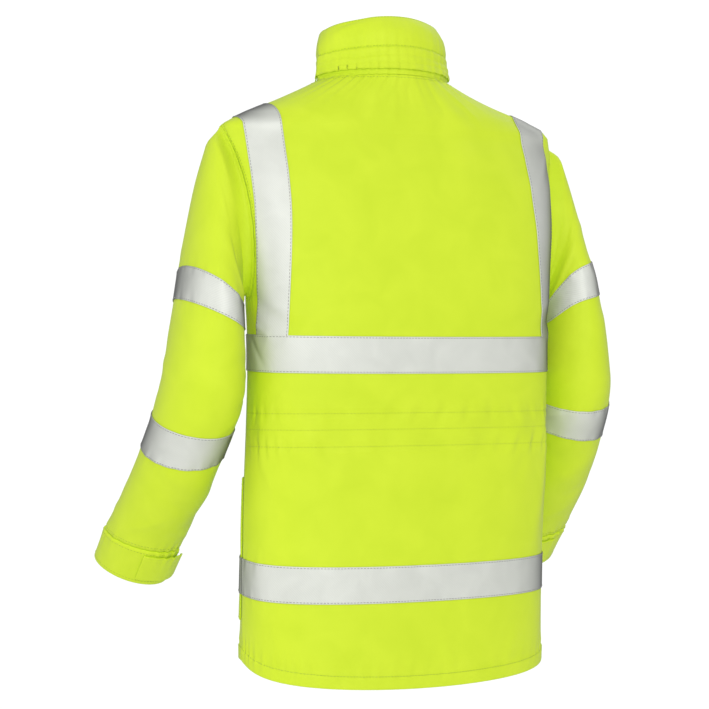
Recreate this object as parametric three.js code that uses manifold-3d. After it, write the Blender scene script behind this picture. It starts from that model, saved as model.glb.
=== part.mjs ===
// A hi-vis work jacket, worn and hollow, in millimetres.
// +Z is up, the front faces -Y, and the wearer's left side is +X.
// The origin is the middle of the neck, at the height of the seam behind it.

import * as THREE from 'three';
import { mergeVertices } from 'three/addons/utils/BufferGeometryUtils.js';
import Module from 'manifold-3d';

const wasm = await Module();
wasm.setup();

// Driving sizes
const SEAM_GAP = 0.3;
const CLOTH = 2;
const HEM_CLOTH = 3;
const CUFF_CLOTH = 3;
const TAPE = 1;
const TAPE_WIDTH = 50;
const QUARTER = Math.PI / 2;
const degrees = THREE.MathUtils.degToRad;

// Colours of the finished pieces
const YELLOW = new THREE.MeshStandardMaterial({ color: 0xd2ee32, roughness: 0.62, metalness: 0 });
const SILVER = new THREE.MeshStandardMaterial({ color: 0xd8dcd6, roughness: 0.4, metalness: 0.3 });
const ZIP_PLASTIC = new THREE.MeshStandardMaterial({ color: 0xc6d832, roughness: 0.5, metalness: 0 });
const ZIP_METAL = new THREE.MeshStandardMaterial({ color: 0x9a9c98, roughness: 0.3, metalness: 0.9 });

function table(names, rows) {
  return rows.map((row) => Object.fromEntries(names.map((name, column) => [name, row[column]])));
}

// A curve through points that never swings past them: cubic, with limited slopes.
function smoothCurve(places, values) {
  const steps = places.slice(1).map((place, i) => (values[i + 1] - values[i]) / (place - places[i]));
  const slopes = places.map((place, i) => {
    if (i === 0) return steps[0];
    if (i === places.length - 1) return steps[i - 1];
    const [before, after] = [steps[i - 1], steps[i]];
    return before * after > 0 ? (2 * before * after) / (before + after) : 0;
  });
  return (place) => {
    let i = places.findIndex((next) => next > place) - 1;
    if (place <= places[0]) i = 0;
    if (i < 0) i = places.length - 2;
    const gap = places[i + 1] - places[i];
    const u = (place - places[i]) / gap;
    if (u < 0) return values[i] + slopes[i] * u * gap;
    if (u > 1) return values[i + 1] + slopes[i + 1] * (u - 1) * gap;
    const rise = values[i + 1] - values[i];
    const curveIn = slopes[i] * gap - rise;
    const curveOut = rise - slopes[i + 1] * gap;
    return values[i] + u * rise + u * (1 - u) * ((1 - u) * curveIn + u * curveOut);
  };
}

// Turns a table into one function that gives every column at a place of the first.
function smoothTable(rows) {
  const [first, ...others] = Object.keys(rows[0]);
  const places = rows.map((row) => row[first]);
  const curves = others.map((name) => [name, smoothCurve(places, rows.map((row) => row[name]))]);
  return (place) => Object.fromEntries(curves.map(([name, curve]) => [name, curve(place)]));
}

// Horizontal sections of the body of the jacket. Each is a rounded box around
// (0, centreY): the powers say how square its back and front halves are.
const BODY_SECTIONS = smoothTable(table(
  ['height', 'halfWidth', 'centreY', 'back', 'front', 'backPower', 'frontPower'],
  [
    [-815, 218, 27, 106, 142, 2.6, 2.7],
    [-650, 217, 31, 102, 146, 2.7, 2.7],
    [-560, 218, 36, 98, 150, 2.8, 2.65],
    [-470, 217, 42, 91, 154, 2.9, 2.5],
    [-370, 216, 47, 88, 160, 3.0, 2.4],
    [-300, 219, 46, 86, 158, 3.1, 2.4],
    [-215, 226, 43, 79, 148, 3.2, 2.25],
    [-150, 234, 33, 76, 134, 2.9, 2.05],
    [-110, 240, 22, 76, 124, 2.5, 1.85],
    [-75, 243, 13, 74, 114, 2.3, 1.65],
    [-58, 214, 14, 70, 106, 2.2, 1.5],
    [-36, 162, 11, 67, 100, 2.1, 1.35],
    [-6, 97, 5, 66, 92, 2.0, 1.35],
    [3, 80, 4, 65, 90, 2.0, 1.35],
  ],
));
const FRONT_TAPER = 0.25;

// A point of the plain body: angle 0 is the wearer's left side and a quarter turn is the back.
function bodyPoint(angle, height) {
  const section = BODY_SECTIONS(height);
  const across = Math.cos(angle);
  const along = Math.sin(angle);
  const depth = along > 0 ? section.back : section.front;
  const power = along > 0 ? section.backPower : section.frontPower;
  const reach = (Math.abs(across) ** power + Math.abs(along) ** power) ** (-1 / power);
  const taper = along < 0 ? 1 + FRONT_TAPER * along * reach : 1;
  const x = section.halfWidth * across * reach * taper;
  return new THREE.Vector3(x, section.centreY + depth * along * reach, height);
}

// The way out of a surface, from its slopes over a small step of each of its two measures
const ANGLE_STEP = 0.01;
const HEIGHT_STEP = 2;
const TURN_STEP = 0.02;
const STATION_STEP = 0.05;
const RISE_STEP = 0.01;

function normalOf(surface, u, v, stepU, stepV) {
  const alongU = surface(u + stepU, v).sub(surface(u - stepU, v));
  const alongV = surface(u, v + stepV).sub(surface(u, v - stepV));
  return alongU.cross(alongV).normalize();
}

const bodyNormal = (angle, height) => normalOf(bodyPoint, angle, height, ANGLE_STEP, HEIGHT_STEP);

// Soft folds of the body: where each runs, from one end to the other, and its size.
const BODY_FOLDS = table(
  ['angleA', 'heightA', 'angleB', 'heightB', 'width', 'depth'],
  [
    [40, -470, 66, -560, 16, 2.4],
    [118, -455, 96, -590, 18, -2.2],
    [150, -470, 138, -620, 16, 2.6],
    [16, -300, 44, -345, 14, -2.2],
    [165, -310, 138, -342, 14, -2.2],
    [62, -40, 74, -120, 13, 1.8],
    [112, -36, 104, -130, 14, 1.8],
    [-30, -470, -50, -600, 17, 2.6],
    [-140, -460, -128, -610, 18, 2.4],
    [-22, -290, -48, -330, 14, -2.2],
    [202, -290, 228, -330, 14, -2.2],
  ],
);
const FOLD_RADIUS = 170;

// How far one fold lifts the cloth at a place: a soft ridge that fades at both ends.
function foldLift(fold, angle, height) {
  const end = [(fold.angleB - fold.angleA) * degrees(1) * FOLD_RADIUS, fold.heightB - fold.heightA];
  let turn = angle - degrees(fold.angleA);
  turn -= 2 * Math.PI * Math.round(turn / (2 * Math.PI));
  const here = [turn * FOLD_RADIUS, height - fold.heightA];
  const length = Math.hypot(...end);
  const along = (here[0] * end[0] + here[1] * end[1]) / length;
  const aside = (here[0] * end[1] - here[1] * end[0]) / length;
  const past = (along - length / 2) / (length / 2);
  return fold.depth * Math.exp(-((aside / fold.width) ** 2)) * Math.exp(-(past ** 4));
}

// Gathers of the elastic at the waist, across the back only
const WAIST = -470;
const WAIST_HALF_HEIGHT = 26;
const WAIST_GATHERS = 9;
const GATHER_DEPTH = 1.3;
const GATHER_UNEVEN = { amount: 0.05, waves: 5 };
const GATHER_SLANT = 0.02;

function gatherLift(angle, height) {
  const onBack = Math.sin(angle);
  if (onBack <= 0) return 0;
  const uneven = angle + GATHER_UNEVEN.amount * Math.sin(GATHER_UNEVEN.waves * angle);
  const wave = Math.sin(2 * WAIST_GATHERS * uneven + (height - WAIST) * GATHER_SLANT);
  const near = Math.exp(-(((height - WAIST) / WAIST_HALF_HEIGHT) ** 2));
  return GATHER_DEPTH * wave * near * Math.min(1, 2 * onBack);
}

function clothPoint(angle, height) {
  let lift = gatherLift(angle, height);
  for (const fold of BODY_FOLDS) lift += foldLift(fold, angle, height);
  return bodyPoint(angle, height).addScaledVector(bodyNormal(angle, height), lift);
}

// One place on the cloth: the middle of the wall and the way out of it
function bodyPlace(angle, height) {
  return {
    point: clothPoint(angle, height),
    normal: normalOf(clothPoint, angle, height, ANGLE_STEP, HEIGHT_STEP),
  };
}

// Builds a closed wall from a grid of places, between two distances from them.
// The distances are numbers, or functions of the row and the column.
function wall(grid, low, high, ring = false) {
  const at = (level, row, column) => (typeof level === 'function' ? level(row, column) : level);
  const rows = grid.length;
  const columns = grid[0].length;
  const positions = [];
  for (const level of [low, high]) {
    grid.forEach((line, row) => line.forEach(({ point, normal }, column) => {
      positions.push(...point.clone().addScaledVector(normal, at(level, row, column)).toArray());
    }));
  }
  const index = (side, row, column) => (side * rows + row) * columns + (column % columns);
  const triangles = [];
  const quad = (a, b, c, d) => triangles.push(a, b, c, a, c, d);
  const lastColumn = ring ? columns : columns - 1;
  for (let row = 0; row < rows - 1; row += 1) {
    for (let column = 0; column < lastColumn; column += 1) {
      for (const side of [0, 1]) {
        const [a, b] = [index(side, row, column), index(side, row, column + 1)];
        const [c, d] = [index(side, row + 1, column + 1), index(side, row + 1, column)];
        if (side) quad(a, b, c, d);
        else quad(a, d, c, b);
      }
    }
  }
  for (let column = 0; column < lastColumn; column += 1) {
    const top = rows - 1;
    quad(index(0, 0, column), index(0, 0, column + 1), index(1, 0, column + 1), index(1, 0, column));
    quad(index(1, top, column), index(1, top, column + 1), index(0, top, column + 1), index(0, top, column));
  }
  for (let row = 0; row < rows - 1 && !ring; row += 1) {
    const end = columns - 1;
    quad(index(1, row, 0), index(1, row + 1, 0), index(0, row + 1, 0), index(0, row, 0));
    quad(index(1, row, end), index(0, row, end), index(0, row + 1, end), index(1, row + 1, end));
  }
  return solid(positions, triangles);
}

// Makes a geometry with its faces pointing out.
function solid(positions, triangles) {
  const corner = (i) => new THREE.Vector3().fromArray(positions, 3 * triangles[i]);
  let volume = 0;
  for (let i = 0; i < triangles.length; i += 3) volume += corner(i).dot(corner(i + 1).cross(corner(i + 2)));
  const geometry = new THREE.BufferGeometry();
  geometry.setAttribute('position', new THREE.Float32BufferAttribute(positions, 3));
  geometry.setIndex(volume > 0 ? triangles : triangles.slice().reverse());
  return geometry;
}

function toManifold(geometry) {
  const bare = geometry.clone();
  bare.deleteAttribute('normal');
  bare.deleteAttribute('uv');
  const merged = mergeVertices(bare, 1e-4);
  return new wasm.Manifold(new wasm.Mesh({
    numProp: 3,
    vertProperties: new Float32Array(merged.attributes.position.array),
    triVerts: new Uint32Array(merged.index.array),
  }));
}

function fromManifold(body) {
  const mesh = body.getMesh();
  const geometry = new THREE.BufferGeometry();
  geometry.setAttribute('position', new THREE.BufferAttribute(mesh.vertProperties, 3));
  geometry.setIndex([...mesh.triVerts]);
  return geometry;
}

const jacket = new THREE.Group();

function addPiece(name, geometry, material) {
  const mesh = new THREE.Mesh(geometry, material);
  mesh.name = name;
  jacket.add(mesh);
  return mesh;
}

function mirrored(grid) {
  const flip = (vector) => new THREE.Vector3(-vector.x, vector.y, vector.z);
  return grid.map((line) => line.map(({ point, normal }) => ({ point: flip(point), normal: flip(normal) })));
}

function addPair(name, grid, low, high, material, ring = false) {
  addPiece(`${name}_left`, wall(grid, low, high, ring), material);
  addPiece(`${name}_right`, wall(mirrored(grid), low, high, ring), material);
}

// Rows of the body panels below the armhole: heights at the side seam and at each middle.
const LOW_ROWS = table(
  ['side', 'back', 'front', 'mark'],
  [
    [-773, -809, -794, 'hem'],
    [-753, -789, -774, 'hem stitching'],
    [-722, -738, -729, 'pocket foot'],
    [-687, -696, -690, 'lower band foot'],
    [-639, -648, -642, 'lower band head'],
    [-590, -594, -590, ''],
    [-535, -537, -535, 'pocket head'],
    [-492, -492, -492, 'channel foot'],
    [-470, -470, -470, ''],
    [-449, -449, -449, 'channel head'],
    [-394, -398, -394, 'chest band foot'],
    [-346, -350, -346, 'chest band head'],
  ],
);
// Rows that end on the shoulder seam, from the shoulder tip to the neck
const SHOULDER_ROWS = table(
  ['side', 'back', 'front', 'mark'],
  [
    [-59, -42, -110, ''],
    [-42, -28, -95, ''],
    [-24, -13, -78, ''],
    [-6.3, -0.3, -60.3, 'neck'],
  ],
);

// The armhole is an egg on the body, worked out from a turn: 0 at the shoulder tip.
const ARMHOLE = {
  middle: -187,
  halfHeight: 113,
  backAngle: degrees(22),
  frontAngle: degrees(21),
  backRadius: 78,
  frontRadius: 140,
  steps: 10,
};
const SIDE_SEAM_RADIUS = 80;
const PANEL_AT_ARMHOLE = { foot: -300, backTop: -56, frontTop: -124 };

function armholeSpot(turn, widening = 0) {
  const aside = Math.sin(turn);
  const reach = aside > 0 ? ARMHOLE.backAngle : ARMHOLE.frontAngle;
  const radius = aside > 0 ? ARMHOLE.backRadius : ARMHOLE.frontRadius;
  return {
    angle: aside * (reach + widening / radius),
    height: ARMHOLE.middle + (ARMHOLE.halfHeight + widening) * Math.cos(turn),
  };
}

// Every row of a panel, from hem to neck: where its side edge lies and its height in the middle.
function panelRows(half) {
  const sign = half === 'back' ? 1 : -1;
  const seam = (SEAM_GAP / 2 / SIDE_SEAM_RADIUS) * sign;
  const atSeam = (row) => ({ angle: seam, side: row.side, middle: row[half], mark: row.mark });
  const { foot } = PANEL_AT_ARMHOLE;
  const top = PANEL_AT_ARMHOLE[`${half}Top`];
  const armhole = [];
  for (let step = 0; step <= ARMHOLE.steps; step += 1) {
    const turn = Math.PI * (1 - step / ARMHOLE.steps);
    const spot = armholeSpot(turn * sign, SEAM_GAP);
    const rise = (Math.cos(turn) + 1) / 2;
    const angle = Math.abs(spot.angle) < Math.abs(seam) ? seam : spot.angle;
    armhole.push({ angle, side: spot.height, middle: foot + (top - foot) * rise, mark: '' });
  }
  return [...LOW_ROWS.map(atSeam), ...armhole, ...SHOULDER_ROWS.map(atSeam)];
}

const BACK_ROWS = panelRows('back');
const FRONT_ROWS = panelRows('front');
const rowMarked = (rows, mark) => rows.findIndex((row) => row.mark === mark);

// Back panel: from the wearer's left side seam round to the right one
const BACK_COLUMNS = 36;

function backGrid(rows) {
  return rows.map((row) => {
    const line = [];
    for (let column = 0; column <= BACK_COLUMNS; column += 1) {
      const across = (2 * column) / BACK_COLUMNS - 1;
      const angle = QUARTER + across * (QUARTER - row.angle);
      const sag = 1 - across * across;
      line.push(bodyPlace(angle, row.side + (row.middle - row.side) * sag));
    }
    return line;
  });
}

// Left front: from the side seam to the zip
const FRONT_COLUMNS = 13;
const ZIP_HALF_WIDTH = 3;
const ZIP_EDGE = ZIP_HALF_WIDTH + SEAM_GAP;

// Narrows down the place where a test stops being true, by halving.
const HALVINGS = 30;

function lastWhere(isBefore, low, high) {
  let [from, to] = [low, high];
  for (let step = 0; step < HALVINGS; step += 1) {
    const middle = (from + to) / 2;
    if (isBefore(middle)) from = middle;
    else to = middle;
  }
  return from;
}

function angleAtX(x, height) {
  return lastWhere((angle) => bodyPoint(angle, height).x <= x, -QUARTER, -QUARTER / 2);
}

function frontLine(row) {
  const line = [];
  const end = angleAtX(ZIP_EDGE, row.middle);
  for (let column = 0; column <= FRONT_COLUMNS; column += 1) {
    const across = column / FRONT_COLUMNS;
    const height = row.side + (row.middle - row.side) * across ** 1.5;
    line.push(bodyPlace(row.angle + (end - row.angle) * across, height));
  }
  return line;
}

const backPlaces = backGrid(BACK_ROWS);
const frontPlaces = FRONT_ROWS.map((row) => frontLine(row));

// The hem is a fold, so the wall is thicker below its stitching.
const HEM_ROW = rowMarked(BACK_ROWS, 'hem stitching');
const outerFace = (row) => (row < HEM_ROW ? HEM_CLOTH - CLOTH / 2 : CLOTH / 2);

addPiece('back_panel', wall(backPlaces, -CLOTH / 2, outerFace), YELLOW);
addPair('front', frontPlaces, -CLOTH / 2, outerFace, YELLOW);

// Left sleeve: rings from the armhole to the cuff's edge. Each ring runs through an outer
// and an inner point, is deepest at its back and front, and turns as the forearm swings forward.
const RING_SECTIONS = smoothTable(table(
  ['station', 'outerX', 'outerZ', 'innerX', 'innerZ', 'centreY', 'back', 'front', 'turn'],
  [
    [0, 262, -97, 224.5, -304, 24, 45, 46, 0],
    [1, 274, -140, 227, -306, 24, 52, 54, 0],
    [2, 285, -192, 229, -308.5, 26, 60, 62, 0],
    [3, 295, -243, 230.5, -312, 30, 66, 68, 0],
    [4, 305, -288, 231, -333, 37, 69, 70, 3],
    [5, 316, -338, 230.5, -369, 42, 69, 70, 7],
    [6, 325, -388, 229, -408, 42, 67, 68, 12],
    [7, 331, -430, 229, -437, 31, 65, 65, 17],
    [8, 335, -470, 231, -467, 11, 61, 61, 21],
    [9, 339.5, -508, 235, -500, -13, 58, 58, 22],
    [10, 344.5, -547, 241, -546, -45, 55, 55, 22],
    [11, 348.5, -583, 248.5, -590, -81, 52, 52, 20],
    [12, 351.5, -611, 255.5, -625, -111, 50, 50, 19],
    [13, 352.5, -652, 259.5, -668, -149, 48, 48, 24],
  ],
));
// The two arms hang differently. Evenness says how a ring falls from its outer to its inner
// side: evenly at 1, and mostly near the inner side at 0. The bands are given by station.
const ARMS = {
  left: {
    evenness: smoothTable(table(['station', 'share'], [[0, 1], [6, 1], [13, 1]])),
    bands: { upper: [3.35, 4.3], lower: [7.7, 8.85] },
    stations: [0, 0.8, 1.7, 2.6, 3.35, 4.3, 5, 5.55, 6.05, 6.55, 7.1, 7.7, 8.85, 9.5, 10.2, 11, 11.993],
  },
  right: {
    evenness: smoothTable(table(
      ['station', 'share'],
      [[0, 1], [1, 0.8], [2, 0.5], [3, 0.3], [4, 0.3], [5, 0.5], [6, 0.8], [7, 1], [13, 1]],
    )),
    bands: { upper: [2.95, 3.95], lower: [6.95, 8.05] },
    stations: [0, 0.75, 1.5, 2.25, 2.95, 3.95, 4.6, 5.2, 5.8, 6.4, 6.95, 8.05, 8.9, 9.7, 10.4, 11.2, 11.993],
  },
};
const INNER_FALL_POWER = 6;
const SLEEVE_COLUMNS = 2 * ARMHOLE.steps;
const CUFF_STATION = 12;
const CUFF_END = 13;
const SEAM_REACH = 3;

// Soft folds of the sleeve, around the elbow and under the arm
const SLEEVE_FOLDS = table(
  ['station', 'turn', 'slant', 'width', 'spread', 'depth'],
  [
    [5.9, 250, 0.5, 0.32, 60, -3.6],
    [6.7, 236, -0.6, 0.3, 66, -4.2],
    [7.5, 262, 0.4, 0.3, 55, -3.2],
    [2.4, 120, 0.9, 0.4, 40, 2.4],
    [3.2, 62, -0.7, 0.45, 38, 2.2],
    [9.4, 100, 0.8, 0.42, 48, 2.2],
    [10.6, 150, -0.7, 0.4, 44, -2.2],
  ],
);

function sleeveLift(turn, station) {
  let lift = 0;
  for (const fold of SLEEVE_FOLDS) {
    let aside = turn - degrees(fold.turn);
    aside -= 2 * Math.PI * Math.round(aside / (2 * Math.PI));
    const along = station - fold.station - fold.slant * aside;
    lift += fold.depth * Math.exp(-((along / fold.width) ** 2) - (aside / degrees(fold.spread)) ** 2);
  }
  return lift;
}

function ringPoint(arm, turn, station) {
  const ring = RING_SECTIONS(station);
  const inwards = (1 - Math.cos(turn)) / 2;
  const { share } = ARMS[arm].evenness(station);
  const fall = share * inwards + (1 - share) * inwards ** INNER_FALL_POWER;
  const lean = degrees(ring.turn);
  const depth = (Math.sin(turn) > 0 ? ring.back : ring.front) * Math.sin(turn);
  return new THREE.Vector3(
    ring.outerX + (ring.innerX - ring.outerX) * inwards,
    ring.centreY + depth * Math.cos(lean),
    ring.outerZ + (ring.innerZ - ring.outerZ) * fall - depth * Math.sin(lean),
  );
}

function ringNormal(arm, turn, station) {
  const surface = (u, v) => ringPoint(arm, u, v);
  return normalOf(surface, turn, station, TURN_STEP, STATION_STEP).negate();
}

function sleevePoint(arm, turn, station) {
  const point = ringPoint(arm, turn, station);
  return point.addScaledVector(ringNormal(arm, turn, station), sleeveLift(turn, station));
}

function sleevePlace(arm, turn, station) {
  const surface = (u, v) => sleevePoint(arm, u, v);
  return {
    point: sleevePoint(arm, turn, station),
    normal: normalOf(surface, turn, station, TURN_STEP, STATION_STEP).negate(),
  };
}

const sleeveTurns = [];
for (let step = 0; step < SLEEVE_COLUMNS; step += 1) {
  sleeveTurns.push((2 * Math.PI * step) / SLEEVE_COLUMNS);
}

const sleeveLine = (arm, station) => sleeveTurns.map((turn) => sleevePlace(arm, turn, station));

// The seam ring lies on the armhole, and the next one carries on the body's slope for a moment.
const armholePlace = (turn) => {
  const spot = armholeSpot(turn);
  return bodyPlace(spot.angle, spot.height);
};

function leaveSeam(places, inwards) {
  const count = places.length;
  return places.map(({ point, normal }, i) => {
    const after = places[(i + 1) % count].point;
    const before = places[(i + count - 1) % count].point;
    const away = after.clone().sub(before).cross(normal).normalize();
    if (away.dot(inwards(point)) < 0) away.negate();
    return { point: point.clone().addScaledVector(away, SEAM_REACH), normal: away };
  });
}

// The way out of a ring, from the lines before and after it
function settleNormals(grid, row) {
  const count = grid[row].length;
  grid[row].forEach((place, i) => {
    const around = grid[row][(i + 1) % count].point.clone().sub(grid[row][(i + count - 1) % count].point);
    const [before, after] = [grid[row - 1][i].point, grid[row + 1][i].point];
    const incoming = place.point.clone().sub(before).normalize();
    const outgoing = after.clone().sub(place.point).normalize();
    const normalIn = around.clone().cross(incoming).normalize();
    const normalOut = around.clone().cross(outgoing).normalize();
    const normal = normalIn.add(normalOut).normalize();
    if (normal.dot(grid[row - 1][i].normal) < 0) normal.negate();
    grid[row][i] = { point: place.point, normal };
  });
}

const armholeCentre = bodyPoint(0, ARMHOLE.middle);
const seamRing = sleeveTurns.map(armholePlace);
const nextRing = leaveSeam(seamRing, (point) => armholeCentre.clone().sub(point));

function sleevePlaces(arm) {
  const grid = [seamRing, nextRing, ...ARMS[arm].stations.map((station) => sleeveLine(arm, station))];
  settleNormals(grid, 1);
  return grid;
}

const SIDES = { left: (grid) => grid, right: mirrored };
const CUFF_ROWS = [CUFF_STATION, 12.1, 12.5, CUFF_END];
const CUFF_STEP = 0.6;
const cuffOuter = CUFF_STEP + CUFF_CLOTH - CLOTH / 2;

// Closing tab of a cuff: laid on its back, with the free end lifting towards the body
const CUFF_TAB = {
  firstTurn: 75, lastTurn: 165, turnStep: 15, head: 12.14, foot: 12.86, thickness: 2, lift: 6,
};
const tabTurns = [];
for (let turn = CUFF_TAB.firstTurn; turn <= CUFF_TAB.lastTurn; turn += CUFF_TAB.turnStep) {
  tabTurns.push(degrees(turn));
}
const tabLift = (row, column) => CUFF_TAB.lift * (column / (tabTurns.length - 1)) ** 3;
const tabLow = (row, column) => cuffOuter + SEAM_GAP + tabLift(row, column);
const tabHigh = (row, column) => tabLow(row, column) + CUFF_TAB.thickness;
const tabStations = [CUFF_TAB.head, (CUFF_TAB.head + CUFF_TAB.foot) / 2, CUFF_TAB.foot];

// Reflective tape around the sleeves is made from the sleeve's own rings.
const TAPE_LOW = CLOTH / 2 + SEAM_GAP;
const FIRST_STATION_ROW = 2;

for (const [arm, onSide] of Object.entries(SIDES)) {
  const places = sleevePlaces(arm);
  const cuff = CUFF_ROWS.map((station) => sleeveLine(arm, station));
  const tab = tabStations.map((station) => tabTurns.map((turn) => sleevePlace(arm, turn, station)));
  addPiece(`sleeve_${arm}`, wall(onSide(places), -CLOTH / 2, CLOTH / 2, true), YELLOW);
  addPiece(`cuff_${arm}`, wall(onSide(cuff), -CLOTH / 2, cuffOuter, true), YELLOW);
  addPiece(`cuff_tab_${arm}`, wall(onSide(tab), tabLow, tabHigh), YELLOW);
  for (const [name, [head, foot]] of Object.entries(ARMS[arm].bands)) {
    const rowOf = (station) => FIRST_STATION_ROW + ARMS[arm].stations.indexOf(station);
    const rows = onSide(places.slice(rowOf(head), rowOf(foot) + 1));
    addPiece(`sleeve_band_${name}_${arm}`, wall(rows, TAPE_LOW, TAPE_LOW + TAPE, true), SILVER);
  }
}

// Collar: a tall stand collar. Its foot is the neck edge of the body and its top a smaller loop.
const COLLAR = {
  columns: 36,
  cloth: 2.4,
  topHalfWidth: 82,
  topCentreY: -7,
  topBack: 55,
  topFront: 73,
  sideTop: 64,
  backTop: 80,
  frontTop: 38,
  straightShare: 0.35,
};
// The rolled hood inside: how far it pushes the cloth out, and where up the collar
const HOOD = { bulge: 4, from: 0.47, height: 0.56, reachForward: 0.75 };
const NECK = { side: -6, back: 0, front: -60 };
const collarStart = angleAtX(ZIP_EDGE, NECK.front);
const COLLAR_ROWS = [0.09, 0.28, 0.47, 0.6, 0.75, 0.9, 1];

function neckPlace(angle) {
  const onBack = Math.sin(angle) > 0;
  const across = onBack ? 1 - Math.abs(angle - QUARTER) / QUARTER : quarterShare(angle);
  const rise = onBack ? 1 - (1 - across) ** 2 : across ** 1.5;
  const end = onBack ? NECK.back : NECK.front;
  return bodyPlace(angle, NECK.side + (end - NECK.side) * rise);
}

// How far a place on the front is from the side seam towards the middle, 0 to 1
function quarterShare(angle) {
  const fromLeft = Math.atan2(Math.sin(angle), Math.abs(Math.cos(angle)));
  return Math.min(1, Math.abs(fromLeft) / QUARTER);
}

function collarTop(angle) {
  const along = Math.sin(angle);
  const depth = along > 0 ? COLLAR.topBack : COLLAR.topFront;
  const height = along > 0
    ? COLLAR.sideTop + (COLLAR.backTop - COLLAR.sideTop) * along ** 1.5
    : COLLAR.sideTop + (COLLAR.frontTop - COLLAR.sideTop) * (-along) ** 1.5;
  const across = COLLAR.topHalfWidth * Math.cos(angle);
  const beside = Math.sign(across) * Math.max(0, -along) ** 8;
  const x = across + beside * (ZIP_EDGE - COLLAR.topHalfWidth * Math.cos(collarStart));
  return new THREE.Vector3(x, COLLAR.topCentreY + depth * along, height);
}

// A collar stands nearly upright and curves in only near its top.
function collarPoint(angle, rise) {
  const foot = neckPlace(angle).point;
  const top = collarTop(angle);
  const inwards = COLLAR.straightShare * rise + (1 - COLLAR.straightShare) * rise ** 3;
  return new THREE.Vector3(
    foot.x + (top.x - foot.x) * inwards,
    foot.y + (top.y - foot.y) * inwards,
    foot.z + (top.z - foot.z) * rise,
  );
}

const collarPlace = (angle, rise) => ({
  point: collarPoint(angle, rise),
  normal: normalOf(collarPoint, angle, rise, ANGLE_STEP, RISE_STEP),
});

const collarAngles = [];
for (let column = 0; column <= COLLAR.columns; column += 1) {
  const sweep = 2 * (QUARTER - collarStart);
  collarAngles.push(collarStart + (sweep * column) / COLLAR.columns);
}
const neckRing = collarAngles.map(neckPlace);
const collarFoot = leaveSeam(neckRing, (point) => new THREE.Vector3(-point.x, -point.y, 60));
const collarPlaces = [
  neckRing, collarFoot, ...COLLAR_ROWS.map((rise) => collarAngles.map((angle) => collarPlace(angle, rise))),
];
settleNormals(collarPlaces, 1);

// Both ends of the collar stand square to the zip.
for (const line of collarPlaces) {
  for (const [place, edge] of [[line[0], ZIP_EDGE], [line[COLLAR.columns], -ZIP_EDGE]]) {
    place.point.x = edge;
    place.normal.setX(0).normalize();
  }
}

// The rolled hood inside fills out the upper half at the back and sides.
function hoodBulge(row, column) {
  const rise = row < 2 ? 0 : COLLAR_ROWS[row - 2];
  const upper = Math.max(0, Math.sin((Math.PI * (rise - HOOD.from)) / HOOD.height));
  const backness = Math.min(1, Math.max(0, HOOD.reachForward + Math.sin(collarAngles[column])));
  return COLLAR.cloth / 2 + HOOD.bulge * upper * backness;
}
addPiece('collar', wall(collarPlaces, -COLLAR.cloth / 2, hoodBulge), YELLOW);

// Flap over the hood's opening: sewn in halfway up the collar, free at its lower edge
const FLAP = { thickness: 1.4, firstRow: 2, lastRow: 4, firstColumn: 7, lastColumn: 29, lift: 0.8 };
const flapPlaces = collarPlaces.slice(FLAP.firstRow, FLAP.lastRow + 1)
  .map((line) => line.slice(FLAP.firstColumn, FLAP.lastColumn + 1));
const flapLow = (row) => COLLAR.cloth / 2 + SEAM_GAP + (row === 0 ? FLAP.lift : 0);
addPiece('collar_flap', wall(flapPlaces, flapLow, (row) => flapLow(row) + FLAP.thickness), YELLOW);

// Reflective bands around the body, made from the panels' own rows
function bandRows(places, rows, name) {
  return places.slice(rowMarked(rows, `${name} foot`), rowMarked(rows, `${name} head`) + 1);
}
const TAPE_HIGH = TAPE_LOW + TAPE;
addPiece('chest_band_back', wall(bandRows(backPlaces, BACK_ROWS, 'chest band'), TAPE_LOW, TAPE_HIGH), SILVER);
addPair('chest_band', bandRows(frontPlaces, FRONT_ROWS, 'chest band'), TAPE_LOW, TAPE_HIGH, SILVER);
addPiece('lower_band_back', wall(bandRows(backPlaces, BACK_ROWS, 'lower band'), TAPE_LOW, TAPE_HIGH), SILVER);

// Patch pockets, low on the fronts, with the lower band carried over them
const pocketFoot = rowMarked(FRONT_ROWS, 'pocket foot');
const pocketHead = rowMarked(FRONT_ROWS, 'pocket head');
const POCKET = { firstColumn: 1, lastColumn: 8, thickness: 2, puff: 3 };
const pocketPlaces = frontPlaces.slice(pocketFoot, pocketHead + 1)
  .map((line) => line.slice(POCKET.firstColumn, POCKET.lastColumn + 1));

function pocketPuff(row, column) {
  const up = (row - pocketFoot) / (pocketHead - pocketFoot);
  const across = (column - POCKET.firstColumn) / (POCKET.lastColumn - POCKET.firstColumn);
  if (across < 0 || across > 1) return 0;
  return POCKET.puff * Math.sin(Math.PI * Math.min(1, up)) * Math.sin(Math.PI * across);
}
const pocketLow = (row, column) => (
  TAPE_LOW + pocketPuff(row + pocketFoot, column + POCKET.firstColumn)
);
const pocketHigh = (row, column) => pocketLow(row, column) + POCKET.thickness;
addPair('pocket', pocketPlaces, pocketLow, pocketHigh, YELLOW);

const bandFoot = rowMarked(FRONT_ROWS, 'lower band foot');
function overPocket(row, column) {
  const covered = column >= POCKET.firstColumn && column <= POCKET.lastColumn;
  const rise = covered ? POCKET.thickness + SEAM_GAP : 0;
  return TAPE_LOW + rise + pocketPuff(row + bandFoot, column);
}
const overPocketTop = (row, column) => overPocket(row, column) + TAPE;
addPair('lower_band', bandRows(frontPlaces, FRONT_ROWS, 'lower band'), overPocket, overPocketTop, SILVER);

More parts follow.
